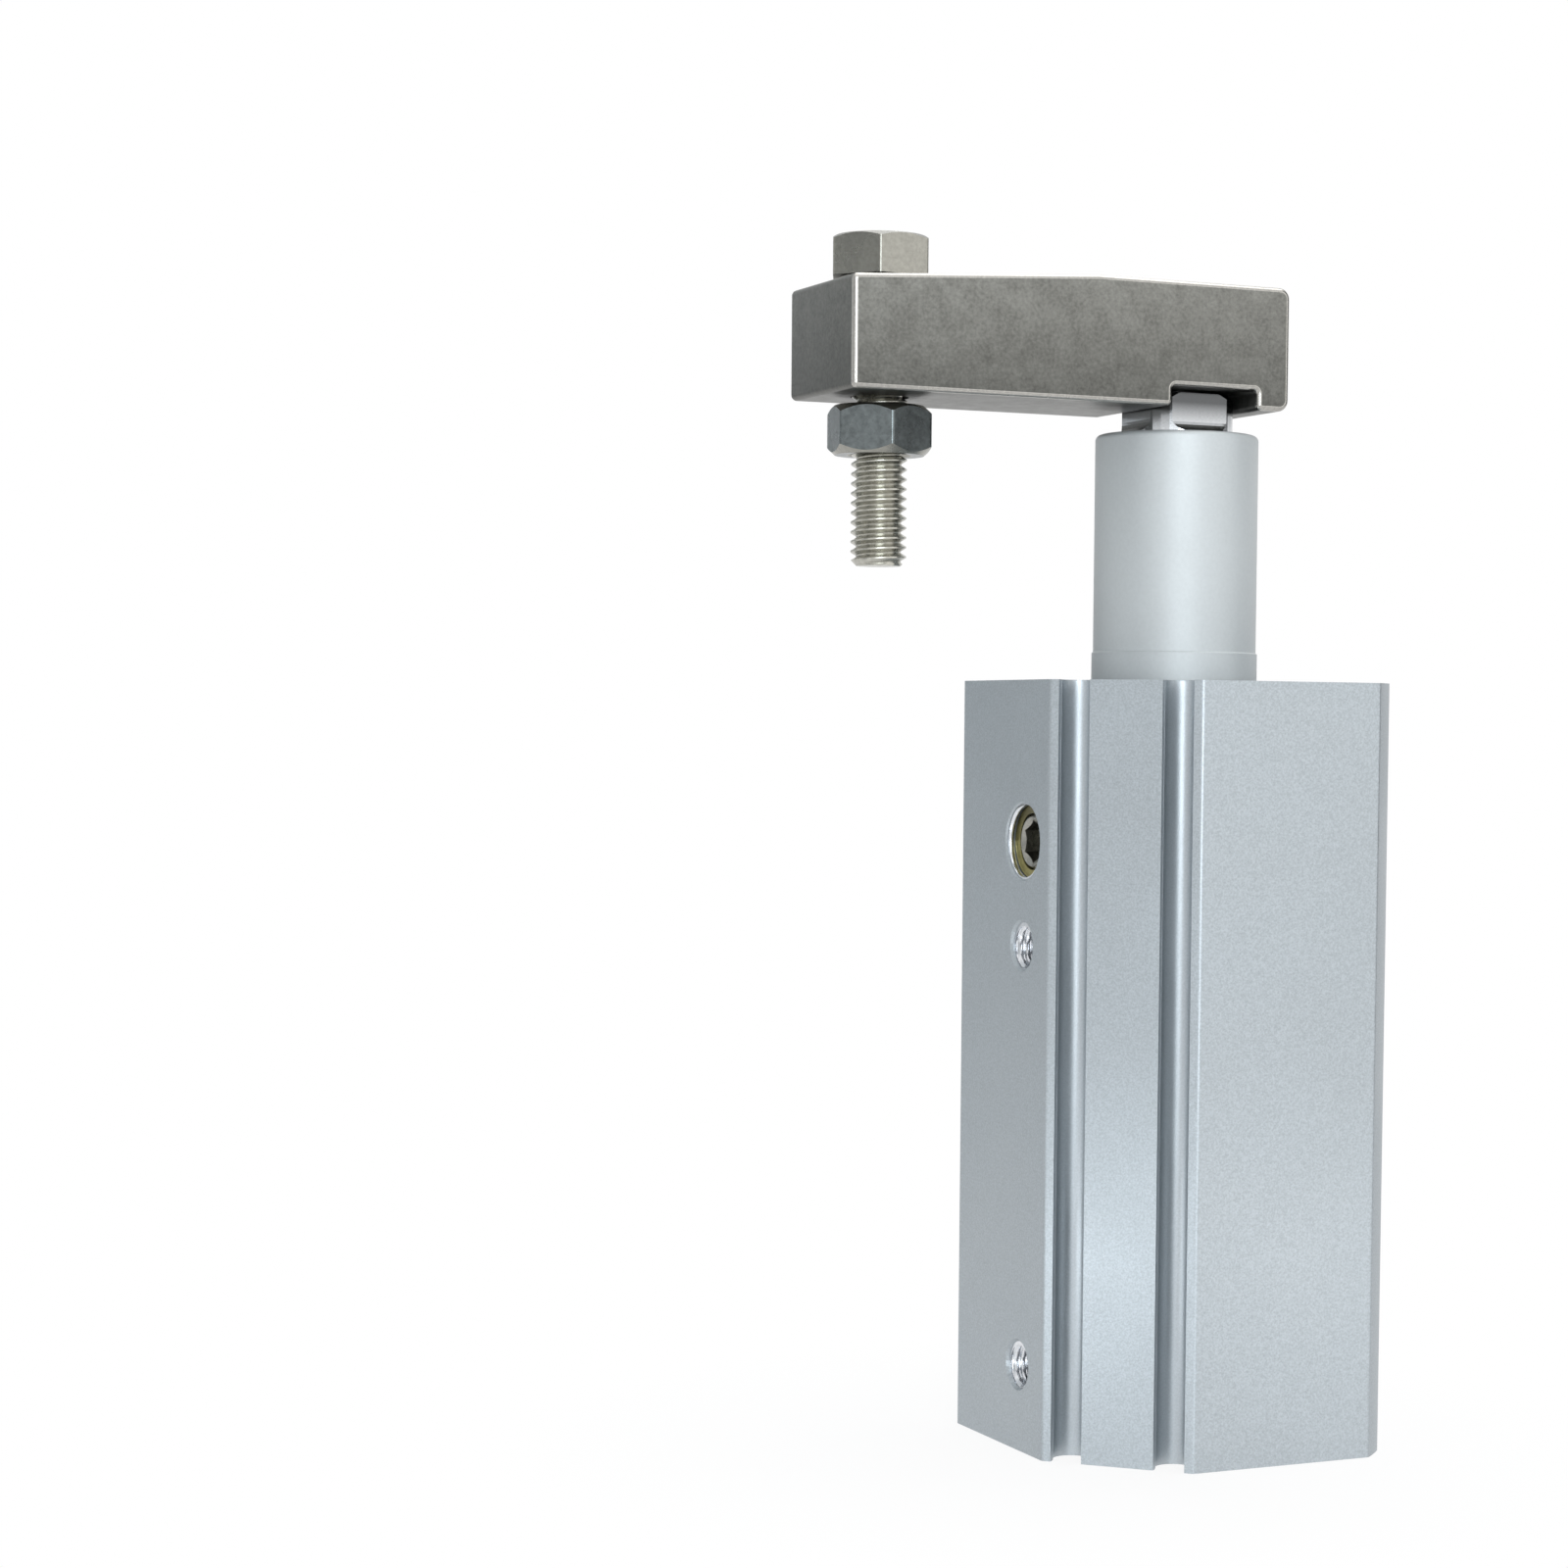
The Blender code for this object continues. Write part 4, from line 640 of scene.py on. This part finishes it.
def build_sink_linings(material):
    """Round walls of the mounting holes' counterbores."""
    inner, outer = SINK_RADIUS - 0.00004, SINK_RADIUS + 0.00002
    low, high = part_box("cylinder_body")
    for name, side in (("front", 1), ("back", -1)):
        place = (AXIS_X + side * MOUNT_OFFSET, -side * MOUNT_OFFSET, 0)
        for end, start, stop in (("low", low.z, low.z + SINK_DEPTH), ("high", high.z - SINK_DEPTH, high.z)):
            profile = [(inner, start), (outer, start), (outer, stop), (inner, stop)]
            revolve(f"{name}_{end}_sink_lining", profile, material, "barrel", place, 96)


# Each solid gets its material, and the new pieces are built

dress(["cylinder_body"], anodised)
dress(["rod_cover"], coated)
dress(["clamp_arm"], arm_metal_painted_shade)
dress(["lock_nut", "guide_screw", "clamp_bolt"], fastener)
dress(["piston_rod"], chrome)
dress(["head_cover", "piston"], machined)
dress(["head_retaining_ring", "cover_retaining_ring"], spring)
dress(["arm_screw", "piston_screw"], black)
dress(["rod_bush"], bronze)
dress(["guide_screw_seal"], seal_ring)
dress(["head_cover_oring", "rod_cover_oring", "piston_seal", "rod_seal", "rod_wiper"], rubber)
dress(["head_bumper", "rod_bumper"], elastomer)
dress(["piston_wear_ring"], resin)
dress(["piston_magnet"], magnet)
# The bolt's top chamfer takes the darker arm metal as painted shade; the nut's chamfers take the lighter
# stainless as painted highlight.
build_bolt(bolt_metal_painted_light, arm_metal_painted_shade)
build_nut(nut_metal, fastener)
for port, port_height in PORT_HEIGHTS:
    build_tapped_lining(f"{port}_port_thread", port_height, PORT_CREST, PORT_RADIUS, PORT_PITCH, PORT_ENDS,
                        tapped_metal)
build_tapped_lining("guide_hole_thread", GUIDE_HEIGHT, GUIDE_CREST, GUIDE_HOLE_RADIUS, GUIDE_PITCH,
                    GUIDE_ENDS, tapped_metal)
build_arm(arm_metal_painted_shade, arm_edge_painted_highlight)
build_sleeve_skin(coated)
build_rod_skin(chrome)
build_groove_linings(groove_metal)
build_sink_linings(anodised)


# Floor, light and camera

def white_rays(tree):
    """1 for camera, glossy and transmission rays, which see the background as white."""
    rays = tree.nodes.new("ShaderNodeLightPath")
    value = rays.outputs["Is Camera Ray"]
    for kind in ("Is Glossy Ray", "Is Transmission Ray"):
        either = tree.nodes.new("ShaderNodeMath")
        either.operation = "MAXIMUM"
        tree.links.new(value, either.inputs[0])
        tree.links.new(rays.outputs[kind], either.inputs[1])
        value = either.outputs["Value"]
    return value


def build_floor():
    """Pale floor that keeps the shadow near the object and fades to white further out."""
    half_size, gap = 3.0, 0.00005
    shadow_radius, white_radius, near_white = 0.02, 0.065, 0.89
    bm = bmesh.new()
    bmesh.ops.create_grid(bm, x_segments=1, y_segments=1, size=half_size)
    mesh = bpy.data.meshes.new("floor")
    bm.to_mesh(mesh)
    bm.free()
    floor = bpy.data.objects.new("floor", mesh)
    floor.location = (0, 0, -gap)
    bpy.context.scene.collection.objects.link(floor)
    material, shader = shader_for("floor_white", (0.93, 0.93, 0.93), 0.9, 0.0)
    shader.inputs["Specular IOR Level"].default_value = 0.0
    coords = add_node(material, "ShaderNodeTexCoord")
    distance = add_node(material, "ShaderNodeVectorMath", operation="LENGTH")
    link(material, coords, "Object", distance, 0)
    fade = add_node(material, "ShaderNodeMapRange")
    fade.inputs["From Min"].default_value = shadow_radius
    fade.inputs["From Max"].default_value = white_radius
    fade.inputs["To Min"].default_value = near_white
    link(material, distance, "Value", fade, "Value")
    amount = add_node(material, "ShaderNodeMath", operation="MULTIPLY")
    material.node_tree.links.new(white_rays(material.node_tree), amount.inputs[0])
    link(material, fade, "Result", amount, 1)
    white = add_node(material, "ShaderNodeEmission")
    white.inputs["Strength"].default_value = 1.0
    mix = add_node(material, "ShaderNodeMixShader")
    link(material, amount, "Value", mix, "Fac")
    material.node_tree.links.new(shader.outputs["BSDF"], mix.inputs[1])
    material.node_tree.links.new(white.outputs["Emission"], mix.inputs[2])
    output = material.node_tree.nodes["Material Output"]
    material.node_tree.links.new(mix.outputs["Shader"], output.inputs["Surface"])
    mesh.materials.append(material)


def build_panel(name, direction, distance, size, colour):
    """Upright studio panel that only reflections see. direction is its plan angle in degrees."""
    turn = math.radians(direction)
    bm = bmesh.new()
    bmesh.ops.create_grid(bm, x_segments=1, y_segments=1, size=0.5)
    mesh = bpy.data.meshes.new(name)
    bm.to_mesh(mesh)
    bm.free()
    panel = bpy.data.objects.new(name, mesh)
    panel.scale = (size[0], size[1], 1)
    panel.location = (AXIS_X + distance * math.cos(turn), distance * math.sin(turn), size[1] / 2)
    panel.rotation_euler = (math.pi / 2, 0, turn - math.pi / 2)
    panel.visible_camera = False
    panel.visible_shadow = False
    bpy.context.scene.collection.objects.link(panel)
    material, shader = shader_for(name, colour, 0.9, 0.0)
    mesh.materials.append(material)


def area_lamp(name, place, target, size, power, colour=(1, 1, 1)):
    data = bpy.data.lights.new(name, "AREA")
    data.shape = "RECTANGLE"
    data.size, data.size_y = size
    data.energy = power
    data.color = colour
    lamp = bpy.data.objects.new(name, data)
    lamp.location = place
    lamp.rotation_euler = (Vector(target) - Vector(place)).to_track_quat("-Z", "Y").to_euler()
    lamp.visible_camera = False
    bpy.context.scene.collection.objects.link(lamp)


def build_world():
    world = bpy.data.worlds.new("studio")
    world.use_nodes = True
    bpy.context.scene.world = world
    tree = world.node_tree
    tree.nodes.clear()
    output = tree.nodes.new("ShaderNodeOutputWorld")
    soft = tree.nodes.new("ShaderNodeBackground")
    soft.inputs["Color"].default_value = (0.93, 0.96, 1.0, 1)
    soft.inputs["Strength"].default_value = 0.36
    white = tree.nodes.new("ShaderNodeBackground")
    white.inputs["Color"].default_value = (1, 1, 1, 1)
    white.inputs["Strength"].default_value = 1.0
    mix = tree.nodes.new("ShaderNodeMixShader")
    tree.links.new(white_rays(tree), mix.inputs["Fac"])
    tree.links.new(soft.outputs[0], mix.inputs[1])
    tree.links.new(white.outputs[0], mix.inputs[2])
    tree.links.new(mix.outputs[0], output.inputs["Surface"])


def build_camera():
    """Camera solved from the photograph, in metres, radians and pixels of the square frame."""
    frame_px, focal_px, centre_x_px, centre_y_px = 1600, 3473.69, 1011.09, 919.44
    azimuth, distance, height = math.radians(28.35), 0.37033, 0.07721
    yaw, pitch, roll = math.radians(3.03), math.radians(2.89), math.radians(0.59)
    place = Vector((AXIS_X - math.sin(azimuth) * distance, -math.cos(azimuth) * distance, height))
    heading = math.atan2(math.cos(azimuth), math.sin(azimuth)) + yaw
    level = math.cos(pitch)
    ahead = Vector((math.cos(heading) * level, math.sin(heading) * level, -math.sin(pitch)))
    right = ahead.cross(Vector((0, 0, 1))).normalized()
    up = right.cross(ahead)
    rolled_right = right * math.cos(roll) + up * math.sin(roll)
    rolled_up = -right * math.sin(roll) + up * math.cos(roll)
    data = bpy.data.cameras.new("camera")
    data.sensor_width = 36.0
    data.lens = focal_px / frame_px * data.sensor_width
    data.shift_x = 0.5 - centre_x_px / frame_px
    data.shift_y = centre_y_px / frame_px - 0.5
    data.clip_start = 0.01
    camera = bpy.data.objects.new("camera", data)
    turn = Matrix((rolled_right, rolled_up, -ahead)).transposed().to_4x4()
    camera.matrix_world = Matrix.Translation(place) @ turn
    bpy.context.scene.collection.objects.link(camera)
    bpy.context.scene.camera = camera


def build_lights():
    """Panels and lamps. Two small lamps near the floor stand for the light that it throws back up."""
    cool, warm = (0.88, 0.95, 1.0), (1.0, 0.98, 0.95)
    low, middle, arm = (AXIS_X, 0, 0.007), (AXIS_X, 0, 0.06), (0, 0, 0.12)
    build_panel("back_panel", 118, 0.55, (0.7, 0.9), (0.64, 0.65, 0.65))
    build_panel("right_panel", 346, 0.50, (0.30, 0.6), (0.05, 0.05, 0.05))
    build_panel("left_panel", 188, 0.60, (0.22, 0.6), (0.47, 0.48, 0.48))
    area_lamp("key", (-0.27, -0.90, 0.28), middle, (0.5, 0.5), 4.6, cool)
    area_lamp("fill", (0.56, -0.70, 0.06), (AXIS_X, 0, 0.05), (0.9, 0.9), 1.25, warm)
    area_lamp("rib_bounce", (-0.080, -0.050, 0.007), low, (0.06, 0.012), 0.009, cool)
    area_lamp("face_bounce", (0.064, -0.094, 0.007), low, (0.06, 0.012), 0.0035)
    area_lamp("top", (0.05, -0.15, 0.9), middle, (1.0, 1.0), 3.4)
    area_lamp("rim", (0.16, 0.40, 0.85), arm, (0.5, 0.5), 1.6)
    area_lamp("edge", (0.45, 0.0, 0.92), arm, (0.35, 0.35), 0.8)


build_floor()
build_world()
build_camera()
build_lights()

bpy.context.scene.view_settings.view_transform = "Standard"
